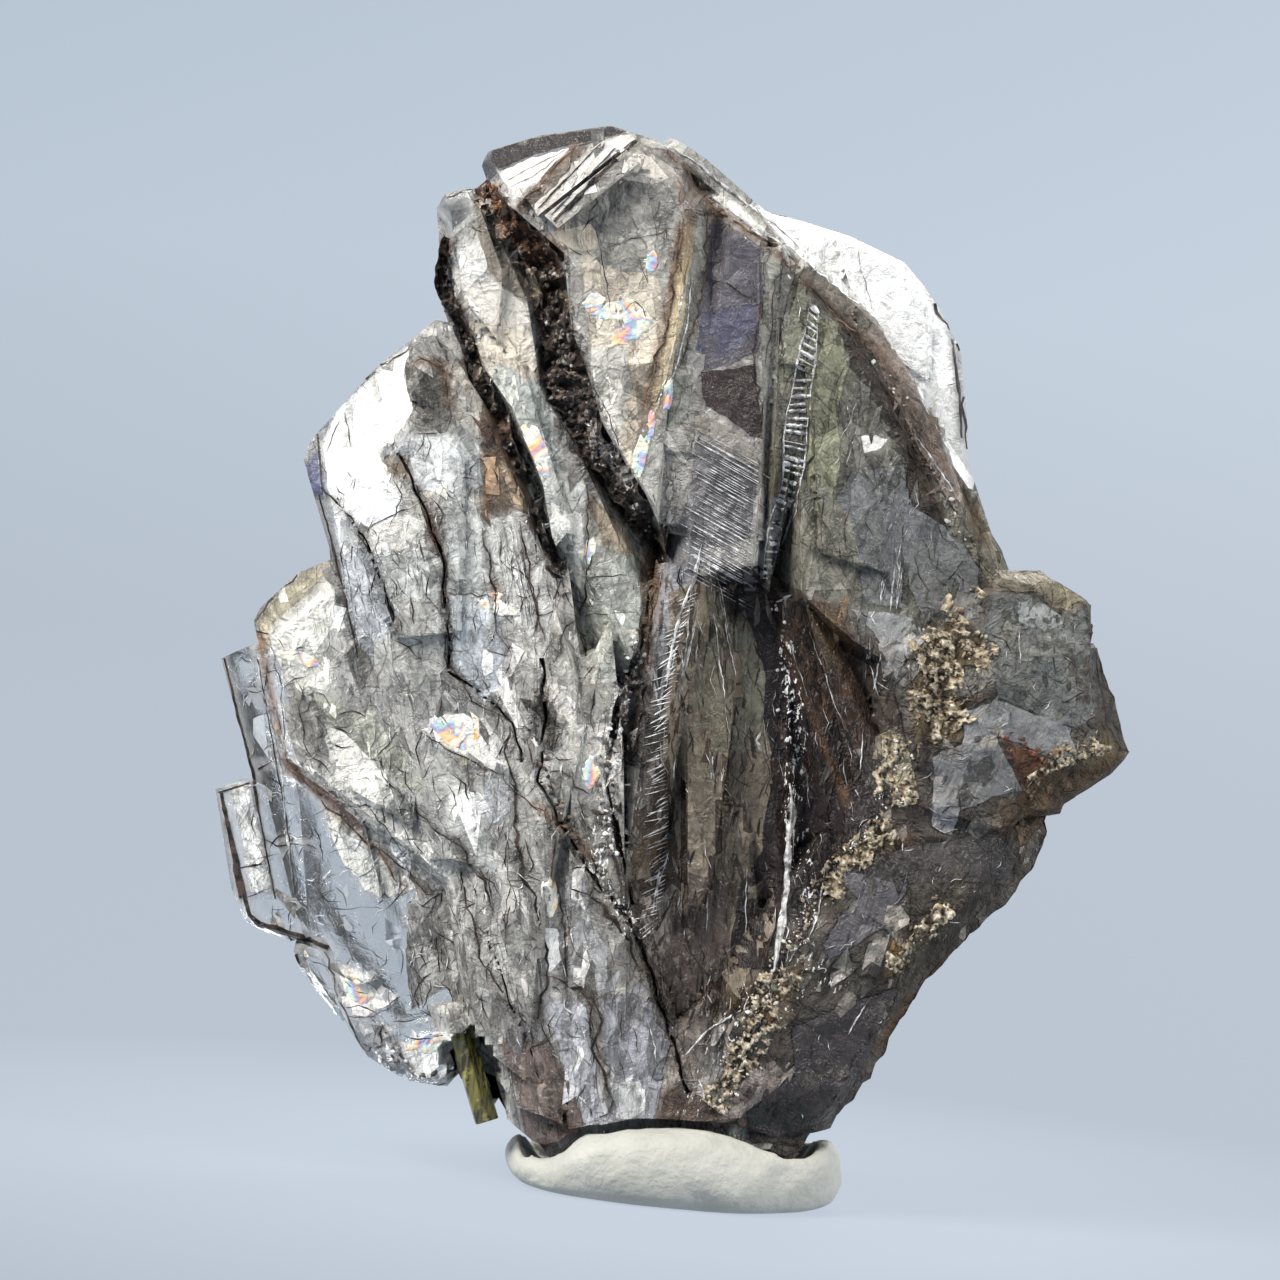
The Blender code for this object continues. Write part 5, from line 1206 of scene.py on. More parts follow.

# Crumbs: number per square millimetre, half width, smallest and largest radius, colours, path.
# The palest colours among the stained and grey crumbs are painted glints
STAINED = ("#241D19", "#2E2723", "#3B332E", "#4A4039", "#5A4E46", "#6B6058", "#8A8179", "#2A2624", "#C5C1BC",
           "#3A302A", "#6F5E50")
EARTHY = ("#B5A88F", "#9A8A6C", "#80705A", "#6A5B48", "#C4BCAC", "#4A3D31", "#90816A", "#858078", "#3A3029",
          "#5A4D40", "#77705F", "#A99B82")
CHALKY = ("#C9C3B8", "#ADA496", "#8F8474", "#766A5C", "#DAD6CE", "#5E564D", "#423A34", "#98917F")
GREYS = ("#A9A7A6", "#DEDEDE", "#6F6B69", "#3A3533", "#8A8786", "#F1F1F0", "#524B48")
CRUMB_BEDS = [
    (22, 0.42, (0.03, 0.12), ("#6E4A32", "#8B5C3B", "#4A3122", "#A07A58", "#33231A"),
     trace("-47 308 -42 298 -34 290 -28 284")),
    (22, 0.55, (0.03, 0.13), STAINED, trace("-28 284 -27 272 -24 260 -22 248 -18 237")),
    (22, 0.36, (0.03, 0.12), STAINED, trace("-18 237 -12 226 -6 217 1 208 7 198")),
    (20, 0.24, (0.03, 0.1), STAINED, trace("-61 280 -59 272 -53 260 -49 250 -43 239 -37 226 -32 214 -27 194")),
    (18, 0.3, (0.04, 0.12), STAINED, trace("-31 154 -31 134 -26 120 -16 102 -7 90")),
    (22, 0.4, (0.04, 0.12), GREYS, trace("2 172 -5 156 -9 136 -11 118 -7 102")),
    (16, 0.3, (0.04, 0.1), GREYS, trace("41 182 44 160 46 130")),
    (26, 0.8, (0.03, 0.1), EARTHY, trace("94 172 90 160 93 150 98 142")),
    (26, 0.42, (0.03, 0.1), EARTHY, trace("104 186 96 176 108 162")),
    (26, 0.55, (0.03, 0.1), CHALKY, trace("80 139 78 128 80 118")),
    (26, 0.5, (0.03, 0.1), EARTHY, trace("78 112 69 106 60 100 56 92")),
    (26, 0.5, (0.03, 0.1), CHALKY, trace("56 92 48 74 40 64 30 58")),
    (26, 0.4, (0.03, 0.1), EARTHY, trace("94 89 88 81 80 72 77 68")),
    (26, 0.6, (0.03, 0.1), CHALKY, trace("46 68 36 50 30 36 22 26")),
    (16, 0.28, (0.05, 0.13), ("#6B3A28", "#7F5038", "#4B2E22", "#95745A"), trace("108 142 118 136 128 134")),
    (14, 0.3, (0.05, 0.13), EARTHY, trace("120 126 136 136 146 134")),
    (12, 0.3, (0.04, 0.12), STAINED, trace("64 272 80 244 90 220 102 198")),
    (16, 0.3, (0.05, 0.13), GREYS, trace("-84 44 -74 37 -64 33")),
    (12, 0.3, (0.04, 0.12), STAINED, trace("-32 20 -26 18 -20 26")),
    (12, 0.35, (0.04, 0.12), STAINED, trace("10 22 20 20 28 30")),
]

# Outlines that two kinds of stroke share
LEFT_BLADES = trace("-102 226 -60 240 -10 180 -14 30 -86 44 -82 160")
LOWER_LEFT = trace("-126 160 -110 176 -88 160 -46 70 -80 42 -122 90")
LOBE_MIDDLE = trace("74 158 136 180 146 130 94 66 50 20 22 30")

# Fields of small dark cracks: outline, count, heading, spread, length, width
CRACK_FIELDS = [
    (LEFT_BLADES, 210, 100, 32, 0.85, 0.034),
    (LOWER_LEFT, 130, 30, 50, 0.6, 0.03),
    (trace("-50 304 -30 240 12 210 16 300 -36 306"), 30, 80, 40, 0.7, 0.025),
    (trace("42 286 108 194 84 156 42 188"), 40, 115, 25, 1.0, 0.03),
    (trace("12 186 74 160 68 110 38 50 8 60"), 110, 97, 12, 1.3, 0.035),
    (LOBE_MIDDLE, 90, 35, 45, 0.7, 0.035),
    (trace("-40 50 8 60 8 20 -30 16"), 30, 100, 30, 0.8, 0.03),
]

# Fields of small pale scratches and flakes, painted pale as gleams of light, written in the same way
GLEAM_FIELDS = [
    (LEFT_BLADES, 170, 95, 16, 0.5, 0.036),
    (LOWER_LEFT, 90, 30, 50, 0.35, 0.034),
    (trace("9 186 74 140 68 96 38 50 8 60"), 60, 96, 7, 0.8, 0.025),
    (trace("42 280 96 194 84 166 46 188"), 22, 82, 6, 0.9, 0.022),
    (LOBE_MIDDLE, 90, 50, 40, 0.3, 0.03),
]
BACK_FIELDS = [
    (trace("-82 220 -40 270 50 270 80 200 10 30 -56 44"), 130, 97, 20, 1.4, 0.045),
    (trace("74 190 126 186 140 130 84 66 50 20 32 30"), 60, 40, 50, 0.8, 0.04),
]

LADDER = (
    trace("52 273 51 265 48 254 46 242 44 231 44 219 40 206 37 188"),
    trace("55 270 54 258 52 240 51 227 48 212 45 201 39 188"),
)
RUNG_SPACING = 0.24               # the ladder edge's cross steps
STRIA_START = (1.75, 23.5)        # upper left end of the striae that cross the violet column
STRIA_REACH = (2.3, -1.3)
FEATHER = trace("18 184 12 168 9 148 8 130 9 112 8 94 5 81")
FEATHER_SPACING = 0.13            # short slanting striae beside the feather edge

FILM_CELLS = 22                   # along each side of a film's grid
FILM_LIFT, FILM_DENTS, FILM_SINK = 0.03, 0.02, 0.03

# Interference films, painted as glints in the fractures: middle, half sizes, turn in degrees
FILMS = [
    ((-5.7, 14.1), (1, 0.47), -25),
    ((-8.7, 6.0), (0.74, 0.41), -50),
    ((-6.5, 4.4), (0.94, 0.34), 15),
    ((-5.4, 4.6), (0.41, 0.27), 20),
    ((-3.2, 23.0), (0.47, 0.94), 25),
    ((-0.7, 27.0), (0.88, 0.41), 15),
    ((-0.1, 26.6), (0.47, 0.54), 0),
    ((-1.4, 27.3), (0.47, 0.34), 20),
    ((0.35, 28.5), (0.27, 0.38), 0),
    ((0.0, 22.6), (0.22, 1.2), -14),
    ((0.9, 24.5), (0.27, 0.54), -14),
    ((-1.5, 12.9), (0.34, 0.61), 10),
    ((-2.8, 9.1), (0.3, 0.68), 5),
    ((-1.5, 19.8), (0.18, 0.61), -5),
    ((-10.6, 16.4), (0.81, 0.27), -15),
    ((-4.4, 18.0), (0.68, 0.41), -20),
    ((-0.6, 26.2), (0.5, 0.3), 30),
    ((0.3, 23.5), (0.22, 0.5), -12),
    ((-0.2, 21.6), (0.2, 0.45), -12),
    ((-3.0, 22.2), (0.3, 0.5), 10),
]


# ---- Features laid on the crystal ----

def surface_finder(*names):
    """Return a function that finds where a line through the specimen from one side meets the pieces."""
    graph = bpy.context.evaluated_depsgraph_get()
    trees = [BVHTree.FromObject(bpy.data.objects[name], graph) for name in names]

    def find(spot, side):
        start = place(spot[0], spot[1], side * 20.0)
        hits = [tree.ray_cast(start, Vector((0, -side, 0)), 0.04)[0] for tree in trees]
        return max((hit for hit in hits if hit), key=lambda hit: hit.y * side, default=None)

    return find


def lay_strip(bm, find, path, width_at, lift, side=FRONT):
    """Lay a strip of three rows on the surface: its lips close on it and its middle lifted as given."""
    count = len(path)
    if count < 2:
        return
    grid = bmesh.ops.create_grid(bm, x_segments=count - 1, y_segments=2, size=1.0)["verts"]
    rows = [grid[i * count:(i + 1) * count] for i in range(3)]
    dropped = []
    last = None
    for i, spot in enumerate(path):
        ahead = path[min(i + 1, count - 1)] - path[max(i - 1, 0)]
        across = Vector((-ahead.y, ahead.x)).normalized() * width_at(i / (count - 1)) / 2
        middle = find(spot, side)
        steep = last is not None and middle is not None and abs(middle.y - last.y) > ahead.length * 1.6 * MM
        last = middle
        if steep:
            dropped += [row[i] for row in rows]
            continue
        for row, height in enumerate((LIP_LIFT, lift, LIP_LIFT)):
            target = spot + across * (row - 1)
            hit = find(target, side)
            if hit is None or (middle is not None and abs(hit.y - middle.y) > 0.5 * MM):
                hit = middle
            if hit is None:
                dropped.append(rows[row][i])
                continue
            there = place(target.x, target.y)
            rows[row][i].co = Vector((there.x, hit.y + side * height * MM, there.z))
    if side == BACK:
        bmesh.ops.reverse_faces(bm, faces=list({face for vert in grid for face in vert.link_faces}))
    bmesh.ops.delete(bm, geom=dropped, context="VERTS")


def tapered(width, seed, lowest=0.3):
    """Return a function for the width along a strip: thin ends and an uneven middle."""
    def width_at(share):
        ends = min(1.0, 5 * share + 0.2, 5 * (1 - share) + 0.2)
        wander = 0.9 + 0.9 * noise.noise(Vector((share * 11.0, seed * 1.7, 2.5)))
        return width * max(lowest, ends * wander)
    return width_at


def small_strokes(rng, field):
    """Yield the width and path of small strokes inside an outline, each heading roughly one way in degrees."""
    outline, count, heading, spread, length, width = field
    for spot in spots_inside(rng, outline, count):
        angle = math.radians(heading + rng.gauss(0, spread))
        reach = Vector((math.cos(angle), math.sin(angle))) * length * rng.uniform(0.3, 1.4)
        bend = Vector((-reach.y, reach.x)) * rng.uniform(-0.25, 0.25)
        yield width * rng.uniform(0.5, 1.4), [spot, spot + reach / 2 + bend, spot + reach]


def side_cracks(rng, path, width):
    """Yield short cracks that branch off a longer one."""
    for spot in resampled(path, 0.9)[1:]:
        if rng.random() < 0.45:
            continue
        angle = rng.uniform(0, 2 * math.pi)
        reach = Vector((math.cos(angle), math.sin(angle) * 0.6)) * rng.uniform(0.2, 0.8)
        yield max(0.02, width * rng.uniform(0.2, 0.4)), [spot, spot + reach * 0.5, spot + reach]


def is_stain(hex_colour):
    """True for a colour of iron stain or of violet glass, which soaks in and has no crisp rim."""
    channels = [int(hex_colour[i:i + 2], 16) for i in (1, 3, 5)]
    return max(channels) - min(channels) > 0.2 * max(channels)


def lay_plate(bm, find, index, outline, lift, side=FRONT):
    """Lay a thin plate of the outline's shape on the surface, and mark its faces with its index."""
    plate = bmesh.new()
    layer = plate.faces.layers.int.new("plate")
    face = plate.faces.new([plate.verts.new(place(*spot)) for spot in outline])
    face.normal_update()
    if face.normal.y * side < 0:
        face.normal_flip()
    bmesh.ops.triangulate(plate, faces=plate.faces)
    for axis, turn in ((0, 0.0), (1, math.pi / 2)):
        reach = [spot[axis] for spot in outline]
        cut_in_bands(plate, plate.faces[:], turn, min(reach), max(reach), PLATE_SPACING)
    bmesh.ops.triangulate(plate, faces=plate.faces)
    spots = in_cluster_frame(np.array([v.co[:] for v in plate.verts]))
    missed = []
    for vert, spot in zip(plate.verts, spots):
        hit = find((spot[0], spot[2]), side)
        if hit is None:
            missed.append(vert)
        else:
            vert.co.y = hit.y + side * lift * MM
    for face in plate.faces:
        face[layer] = index
    steep = [f for f in plate.faces if np.ptp([v.co.y for v in f.verts]) > PLATE_STEP * MM]
    bmesh.ops.delete(plate, geom=steep, context="FACES")
    bmesh.ops.delete(plate, geom=[v for v in missed if v.is_valid], context="VERTS")
    pour(plate, bm)


def lay_bridge(bm, find, stations, opening, seed):
    """Nearly close a narrow groove with broken crystal, and leave a thin open crack along its middle."""
    places = resampled(stations, 0.1)
    count = len(places)
    grid = bmesh.ops.create_grid(bm, x_segments=count - 1, y_segments=4, size=1.0)["verts"]
    for i, station in enumerate(places):
        spot, half = station.to_2d(), station.z / 2 + 0.14
        across = across_path(places, i, 3)
        lips = [find(spot + across * half * way, FRONT) for way in (-1, 1)]
        lips = [lip.y / MM if lip else -1.5 for lip in lips]
        drift = 0.45 * half * noise.noise(seeded(spot, 1.6, seed))
        gap = opening * (0.5 + 0.9 * abs(noise.noise(seeded(spot, 2.3, seed + 4))))
        sunk_gap = (0.05, 0.4) if opening else (0.0, 0.0)
        gap = gap or 0.1
        for row, (offset, sunk) in enumerate(((-half, 0.0), (drift - gap, sunk_gap[0]), (drift, sunk_gap[1]),
                                              (drift + gap, sunk_gap[0]), (half, 0.0))):
            share = offset / (2 * half) + 0.5
            depth = lips[0] * (1 - share) + lips[1] * share
            rough = 0.05 * noise.noise(seeded(spot, 5, seed + row)) if 0 < row < 4 else 0.0
            there = spot + across * offset
            grid[row * count + i].co = place(there.x, there.y, depth + sunk + rough - 0.012)


def make_crumbs(rng, spots, sizes):
    """Return a mesh of angular crumbs, one at each place in metres, with its number on its faces."""
    bm = bmesh.new()
    number = bm.faces.layers.int.new("crumb")
    for first in range(0, len(spots), 40):
        batch = bmesh.new()
        layer = batch.faces.layers.int.new("crumb")
        for i in range(first, min(first + 40, len(spots))):
            known = len(batch.faces)
            radius = rng.uniform(*sizes) * MM
            corners = bmesh.ops.create_icosphere(batch, subdivisions=1, radius=radius)["verts"]
            turn = Matrix.Rotation(rng.uniform(0, 6.28), 3, Vector([rng.gauss(0, 1) for _ in range(3)]))
            stretch = Vector((rng.uniform(0.7, 1.5), rng.uniform(0.45, 0.9), rng.uniform(0.6, 1.1)))
            for vert in corners:
                vert.co = turn @ (vert.co * rng.uniform(0.72, 1.12) * stretch) + spots[i]
            batch.faces.ensure_lookup_table()
            for face in batch.faces[known:]:
                face[layer] = i
        pour(batch, bm)
    return bm, number


def round_turns(rng, count):
    """Return the turns of a flake's corners, or nothing where they leave too wide a gap."""
    turns = sorted(rng.uniform(0, 2 * math.pi) for _ in range(count))
    gaps = [b - a for a, b in zip(turns, turns[1:] + [turns[0] + 2 * math.pi])]
    return turns if max(gaps) < 2.9 else []


def rim_flakes(rng, stations):
    """Yield small flakes that break up both rims of an open fissure."""
    for station in resampled(stations, 0.16)[1:-1]:
        for way in (-1, 1):
            aside, along = way * (station.z + rng.uniform(-0.12, 0.2)), rng.uniform(-0.1, 0.1)
            middle = station.to_2d() + Vector((aside, along))
            turns = round_turns(rng, 5)
            if turns:
                half = rng.uniform(0.1, 0.3)
                yield [middle + Vector((math.cos(a) * half * 0.6, math.sin(a) * half)) for a in turns]


def lay_crust(bm, find, path, half, seed):
    """Lay one ragged bed of crumbly crust along a path, with the height of its lumps kept on its corners."""
    lump_layer = bm.verts.layers.float["lump"]
    places = resampled(path, CRUST_SPACING)
    rows = round(2.6 * half / CRUST_SPACING)
    count = len(places)
    grid = bmesh.ops.create_grid(bm, x_segments=count - 1, y_segments=rows - 1, size=1.0)["verts"]
    bare = []
    for i, spot in enumerate(places):
        across = across_path(places, i, 4)
        for row in range(rows):
            share = 2 * row / (rows - 1) - 1
            vert = grid[row * count + i]
            target = spot + across * share * half * 1.3
            hit = find(target, FRONT)
            lump = noise.fractal(seeded(target, 3.9, seed), 0.55, 2.3, 5)
            cover = 1.1 - abs(share) + 0.9 * noise.noise(seeded(target, 1.5, seed + 3))
            if hit is None or cover < 0.3 or lump < -0.45:
                bare.append(vert)
                continue
            vert[lump_layer] = lump
            rise = min(1.0, (cover - 0.3) * 4)
            vert.co = place(target.x, target.y, hit.y / MM - rise * (0.07 + 0.18 * lump) + 0.02)
    bmesh.ops.delete(bm, geom=bare, context="VERTS")


def random_flakes(rng, outline, count, length, slenderness):
    """Yield angular flakes inside an outline, long the way the blades run."""
    for spot in spots_inside(rng, outline, count):
        along = (spot - Vector(FAN_ROOT)).normalized()
        along.rotate(Matrix.Rotation(math.radians(rng.gauss(0, 14)), 2))
        aside = Vector((along.y, -along.x))
        half = length * rng.choice((0.25, 0.4, 0.6, 1.0)) * rng.uniform(0.7, 1.3)
        turns = round_turns(rng, rng.randint(4, 6))
        if turns:
            yield [spot + along * math.cos(a) * half + aside * math.sin(a) * half / slenderness for a in turns]


def lay_film(bm, find, middle, half, turn, seed):
    """Lay a ragged patch of a fine grid on the front: the seed sets its outline and its dents."""
    grid = bmesh.ops.create_grid(bm, x_segments=FILM_CELLS, y_segments=FILM_CELLS, size=1.0)["verts"]
    angle = math.radians(turn)
    unwanted = []
    for vert in grid:
        a, b = vert.co.x, vert.co.y
        reach = math.hypot(a, b)
        ragged = 0.92 + 0.35 * noise.noise(Vector((math.atan2(b, a) * 1.3, seed, 0.5)))
        ragged += 0.25 * noise.noise(Vector((a * 3, b * 3, seed)))
        along, aside = a * half[0], b * half[1]
        spot = Vector((middle[0] + along * math.cos(angle) - aside * math.sin(angle),
                       middle[1] + along * math.sin(angle) + aside * math.cos(angle)))
        hit = find(spot, FRONT)
        if hit is None or reach > ragged:
            unwanted.append(vert)
            continue
        height = FILM_LIFT + FILM_DENTS * noise.fractal(seeded(spot, 2.4, seed), 0.7, 2.1, 5)
        edge = min(1.0, (ragged - reach) * 5)
        there = place(*spot)
        vert.co = Vector((there.x, hit.y - (height * edge - FILM_SINK * (1 - edge)) * MM, there.z))
    bmesh.ops.delete(bm, geom=unwanted, context="VERTS")


# ---- Settings ----

class CrystalSettings(bpy.types.PropertyGroup):
    """Colours and sizes of the specimen."""
    smoke_hex: bpy.props.StringProperty(name="Smoke colour", description="Colour that thick crystal takes",
                                        default="#9A8F88")
    smoke_density: bpy.props.FloatProperty(name="Smoke density", description="Absorption per metre",
                                           default=35.0, min=0.0)
    crack_hex: bpy.props.StringProperty(name="Crack colour", description="Colour of hairline cracks",
                                        default="#2B2725")
    putty_hex: bpy.props.StringProperty(name="Putty colour", description="Colour of the mounting putty",
                                        default="#A1A29C")
    epidote_hex: bpy.props.StringProperty(name="Epidote colour", description="Colour of the small prism",
                                          default="#77712E")
    edge_width: bpy.props.FloatProperty(name="Edge width", description="Width of the worn crystal edges, in mm",
                                        default=0.03, min=0.0)
    paint_spacing: bpy.props.FloatProperty(name="Paint spacing", description="Grid of the tints, in mm",
                                           default=0.27, min=0.1)


class StudioSettings(bpy.types.PropertyGroup):
    """Backdrop, lamps and camera."""
    backdrop_high_hex: bpy.props.StringProperty(name="Backdrop high", description="Backdrop colour high up",
                                                default="#B7C5D2")
    backdrop_low_hex: bpy.props.StringProperty(name="Backdrop low", description="Backdrop colour low down",
                                               default="#CFDAE7")
    lens: bpy.props.FloatProperty(name="Lens", description="Focal length", default=135.0, unit="CAMERA")
    elevation: bpy.props.FloatProperty(name="Elevation", description="How far the camera looks down",
                                       default=math.radians(1.5), subtype="ANGLE")
    key_power: bpy.props.FloatProperty(name="Key power", description="Power of the main soft lamp in watts",
                                       default=3.5, min=0.0)


# ---- Operators ----

class SPECIMEN_OT_cluster(bpy.types.Operator):
    """Dress the axinite cluster with flat facets, fine edges and its regions of clear and broken crystal"""
    bl_idname = "specimen.cluster"
    bl_label = "Axinite Cluster"

    def execute(self, context):
        settings = context.scene.crystal
        bm, number, facets = refined_cluster(settings.edge_width, settings.paint_spacing)
        facet_of_face = [face[number] for face in bm.faces]
        piece = new_piece("axinite_crystals", bm, axinite_material(settings))
        paint_cluster(piece.data, facet_of_face, facets)
        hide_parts("axinite_cluster")
        return {"FINISHED"}


class SPECIMEN_OT_plates(bpy.types.Operator):
    """Lay the thin cleavage plates and flakes that step across the blades"""
    bl_idname = "specimen.plates"
    bl_label = "Cleavage Plates"

    def execute(self, context):
        find = surface_finder("axinite_crystals", "bridged_fissures", "fissure_rubble")
        rng = random.Random(3)
        bm = bmesh.new()
        number = bm.faces.layers.int.new("plate")
        values = []
        # The plates take the patches' colours, with their painted highlights and shade
        for i, (hex_colour, finish, outline) in enumerate(PATCHES):
            if finish == "clear" or is_stain(hex_colour):
                continue
            rim = jagged(outline + outline[:1], 0.16, 0.09, i * 1.9)[:-1]
            lay_plate(bm, find, len(values), rim, PLATE_LIFT + PLATE_RISE * i)
            clear, rough, veil, striae = FINISHES[finish]
            values.append(linear(hex_colour)[:3] + (clear * PLATE_CLEARNESS, rough, veil, striae))
        for outline, count, length, slenderness, tones in FLAKE_FIELDS:
            flakes = list(random_flakes(rng, outline, count, length, slenderness))
            self.add_flakes(bm, find, values, rng, flakes, tones)
        flakes = [flake for stations in RUBBLE for flake in rim_flakes(rng, stations)]
        self.add_flakes(bm, find, values, rng, flakes, RIM_TONES)
        for outline, count, length, slenderness, tones, hex_colour, finish in BACK_FLAKE_FIELDS:
            flakes = list(random_flakes(rng, outline, count, length, slenderness))
            self.add_flakes(bm, find, values, rng, flakes, tones, hex_colour, finish, BACK)
        plate_of_face = np.array([face[number] for face in bm.faces])
        piece = new_piece("cleavage_plates", bm, bpy.data.materials["thin_axinite"])
        spots = corner_places(piece.data)
        values = np.repeat(np.array(values)[plate_of_face], 3, axis=0)
        lay_crack_shade_and_stain(values, spots[:, [0, 2]])
        write_paint(piece.data, spots, values, np.zeros(len(spots)))
        return {"FINISHED"}

    def add_flakes(self, bm, find, values, rng, flakes, tones, hex_colour="#8A8885", finish="veiled",
                   side=FRONT):
        """Add small flakes, each a little lighter or darker than the crystal it lies on."""
        middles = np.array([sum(flake, Vector((0, 0))) / len(flake) for flake in flakes])
        local = np.tile(np.array(linear(hex_colour)[:3] + FINISHES[finish]), (len(flakes), 1))
        if side == FRONT:
            lay_patches(local, middles)
        for flake, value in zip(flakes, local):
            if value[3] > 0.8 and rng.random() < 0.85:
                continue
            # Painted glints: the higher tones make a flake nearly white
            value[:3] = np.minimum(value[:3] * rng.choice(tones), 0.95)
            value[3] *= PLATE_CLEARNESS
            lay_plate(bm, find, len(values), flake, FLAKE_LIFT + rng.uniform(0, 0.006), side)
            values.append(tuple(value))


class SPECIMEN_OT_cracks(bpy.types.Operator):
    """Open dark hairline cracks and stained cracks across the crystals"""
    bl_idname = "specimen.cracks"
    bl_label = "Open Cracks"

    def execute(self, context):
        find = surface_finder("axinite_crystals", "bridged_fissures")
        rng = random.Random(5)
        dark, brown = bmesh.new(), bmesh.new()
        for seed, (kind, width, path) in enumerate(STROKES):
            if kind == "pale":
                continue
            bm = brown if kind == "brown" else dark
            # Edge strokes: dark strips painted along blade edges as the shade that refraction gives them
            if kind == "edge":
                rim = jagged(path, 0.1, 0.03, seed * 3.1)
                lay_strip(bm, find, rim, tapered(width, seed, 0.7), CRACK_LIFT)
                continue
            crack = jagged(path, 0.24, 0.1 + width, seed * 3.1)
            lay_strip(bm, find, crack, tapered(width * 0.6, seed), CRACK_LIFT)
            if width >= 0.07:
                for small_width, branch in side_cracks(rng, path, width):
                    lay_strip(bm, find, jagged(branch, 0.2, 0.12, rng.uniform(0, 99)),
                              tapered(small_width * 0.8, seed), CRACK_LIFT)
        for side, fields in ((FRONT, CRACK_FIELDS), (BACK, BACK_FIELDS)):
            for field in fields:
                for width, path in small_strokes(rng, field):
                    lay_strip(dark, find, jagged(path, 0.24, 0.1, rng.uniform(0, 99)),
                              tapered(width, rng.uniform(0, 99), 0.2), CRACK_LIFT, side)
        for name, bm, deep_hex, skin_hex in (("open", dark, "#15110F", "#4A3C33"),
                                             ("stained", brown, "#2E221B", "#745C4A")):
            material = fracture_material(name + "_fracture", deep_hex, skin_hex)
            new_piece(name + "_cracks", bm, material)
        return {"FINISHED"}


class SPECIMEN_OT_growth_edges(bpy.types.Operator):
    """Raise the pale striated edges, the ladder of cross steps and small gleaming scratches"""
    bl_idname = "specimen.growth_edges"
    bl_label = "Striated Growth Edges"

    def execute(self, context):
        find = surface_finder("axinite_crystals", "bridged_fissures", "fissure_rubble")
        rng = random.Random(8)
        bm = bmesh.new()
        for seed, (kind, width, path) in enumerate(STROKES):
            # Pale strokes: painted highlights along ridges and striated edges
            if kind == "pale":
                rail = jagged(path, 0.14, 0.06, seed * 2.3)
                lay_strip(bm, find, rail, tapered(width, seed), LIP_LIFT + width / 2)
        self.add_ladder(bm, find, rng)
        self.add_cross_striae(bm, find, rng)
        self.add_feather(bm, find, rng)
        for field in GLEAM_FIELDS:
            for width, path in small_strokes(rng, field):
                lay_strip(bm, find, jagged(path, 0.14, 0.06, rng.uniform(0, 99)),
                          tapered(width, rng.uniform(0, 99), 0.2), LIP_LIFT + width / 2)
        new_piece("growth_edges", bm, growth_edge_material())
        return {"FINISHED"}

    def add_ladder(self, bm, find, rng):
        """Add the ladder's two rails and the cross steps between them."""
        for rail in LADDER:
            lay_strip(bm, find, jagged(rail, 0.14, 0.05, rail[0][0]), tapered(0.06, 1.0), 0.06)
        left, right = (resampled(rail, RUNG_SPACING) for rail in LADDER)
        count = min(len(left), len(right))
        for i in range(count):
            start = left[round(i * (len(left) - 1) / (count - 1))]
            end = right[round(i * (len(right) - 1) / (count - 1))]
            drop = Vector((0, rng.uniform(-0.06, 0.06)))
            rung = resampled([start + drop, end + drop], 0.1)
            lay_strip(bm, find, rung, tapered(rng.uniform(0.05, 0.15), i, 0.6), 0.07)

    def add_cross_striae(self, bm, find, rng):
        """Add the striae that cross the violet column's lower end, slanting down to the right."""
        shift = Vector((0, 0))
        for i in range(42):
            shift += Vector((-0.014, -0.1)) * rng.uniform(0.5, 1.6)
            first, last = sorted((rng.uniform(-0.05, 0.25), rng.uniform(0.7, 1.05)))
            start = Vector(STRIA_START) + shift
            path = resampled([start + Vector(STRIA_REACH) * first, start + Vector(STRIA_REACH) * last], 0.15)
            lay_strip(bm, find, path, tapered(rng.choice((0.02, 0.03, 0.03, 0.06)), i, 0.6), 0.05)

    def add_feather(self, bm, find, rng):
        """Add short slanting striae on the left of the feather edge."""
        for i, spot in enumerate(resampled(FEATHER, FEATHER_SPACING)):
            end = spot + Vector((-rng.uniform(0.25, 0.8), -rng.uniform(0.1, 0.4)))
            lay_strip(bm, find, resampled([spot, end], 0.12), tapered(rng.uniform(0.02, 0.045), i), 0.045)


class SPECIMEN_OT_rubble(bpy.types.Operator):
    """Fill the open fissures with iron-stained rubble"""
    bl_idname = "specimen.rubble"
    bl_label = "Fissure Rubble"

    def execute(self, context):
        find = surface_finder("axinite_crystals")
        bm = bmesh.new()
        for seed, stations in enumerate(RUBBLE):
            self.lay_rubble(bm, find, stations, seed * 7.7)
        new_piece("fissure_rubble", bm, rubble_material())
        return {"FINISHED"}

    def lay_rubble(self, bm, find, stations, seed):
        """Lay one bed of broken crystal along its stations, a little below the surface."""
        places = resampled(stations, 0.09)
        count = len(places)
        grid = bmesh.ops.create_grid(bm, x_segments=count - 1, y_segments=RUBBLE_ROWS - 1, size=1.0)["verts"]
        for i, station in enumerate(places):
            spot, half = station.to_2d(), station.z
            across = across_path(places, i, 3)
            left, right = (find(spot + across * (half + 0.3) * way, FRONT) for way in (-1, 1))
            lips = [lip.y / MM if lip else -2.0 for lip in (left or right, right or left)]
            for row in range(RUBBLE_ROWS):
                share = 2 * row / (RUBBLE_ROWS - 1) - 1
                rim = noise.noise(seeded(spot, 2.6, seed + (5 if share > 0 else 0)))
                target = spot + across * share * half * (1.0 + 0.7 * rim)
                level = lips[0] * (1 - share) / 2 + lips[1] * (1 + share) / 2
                rough = noise.fractal(seeded(target, 2.6, seed), 0.8, 2.3, 5)
                inward = min(1.0, (1 - abs(share)) * 3)
                depth = level + inward * (0.3 - 0.4 * rough) + 0.15
                grid[row * count + i].co = place(target.x, target.y, depth)


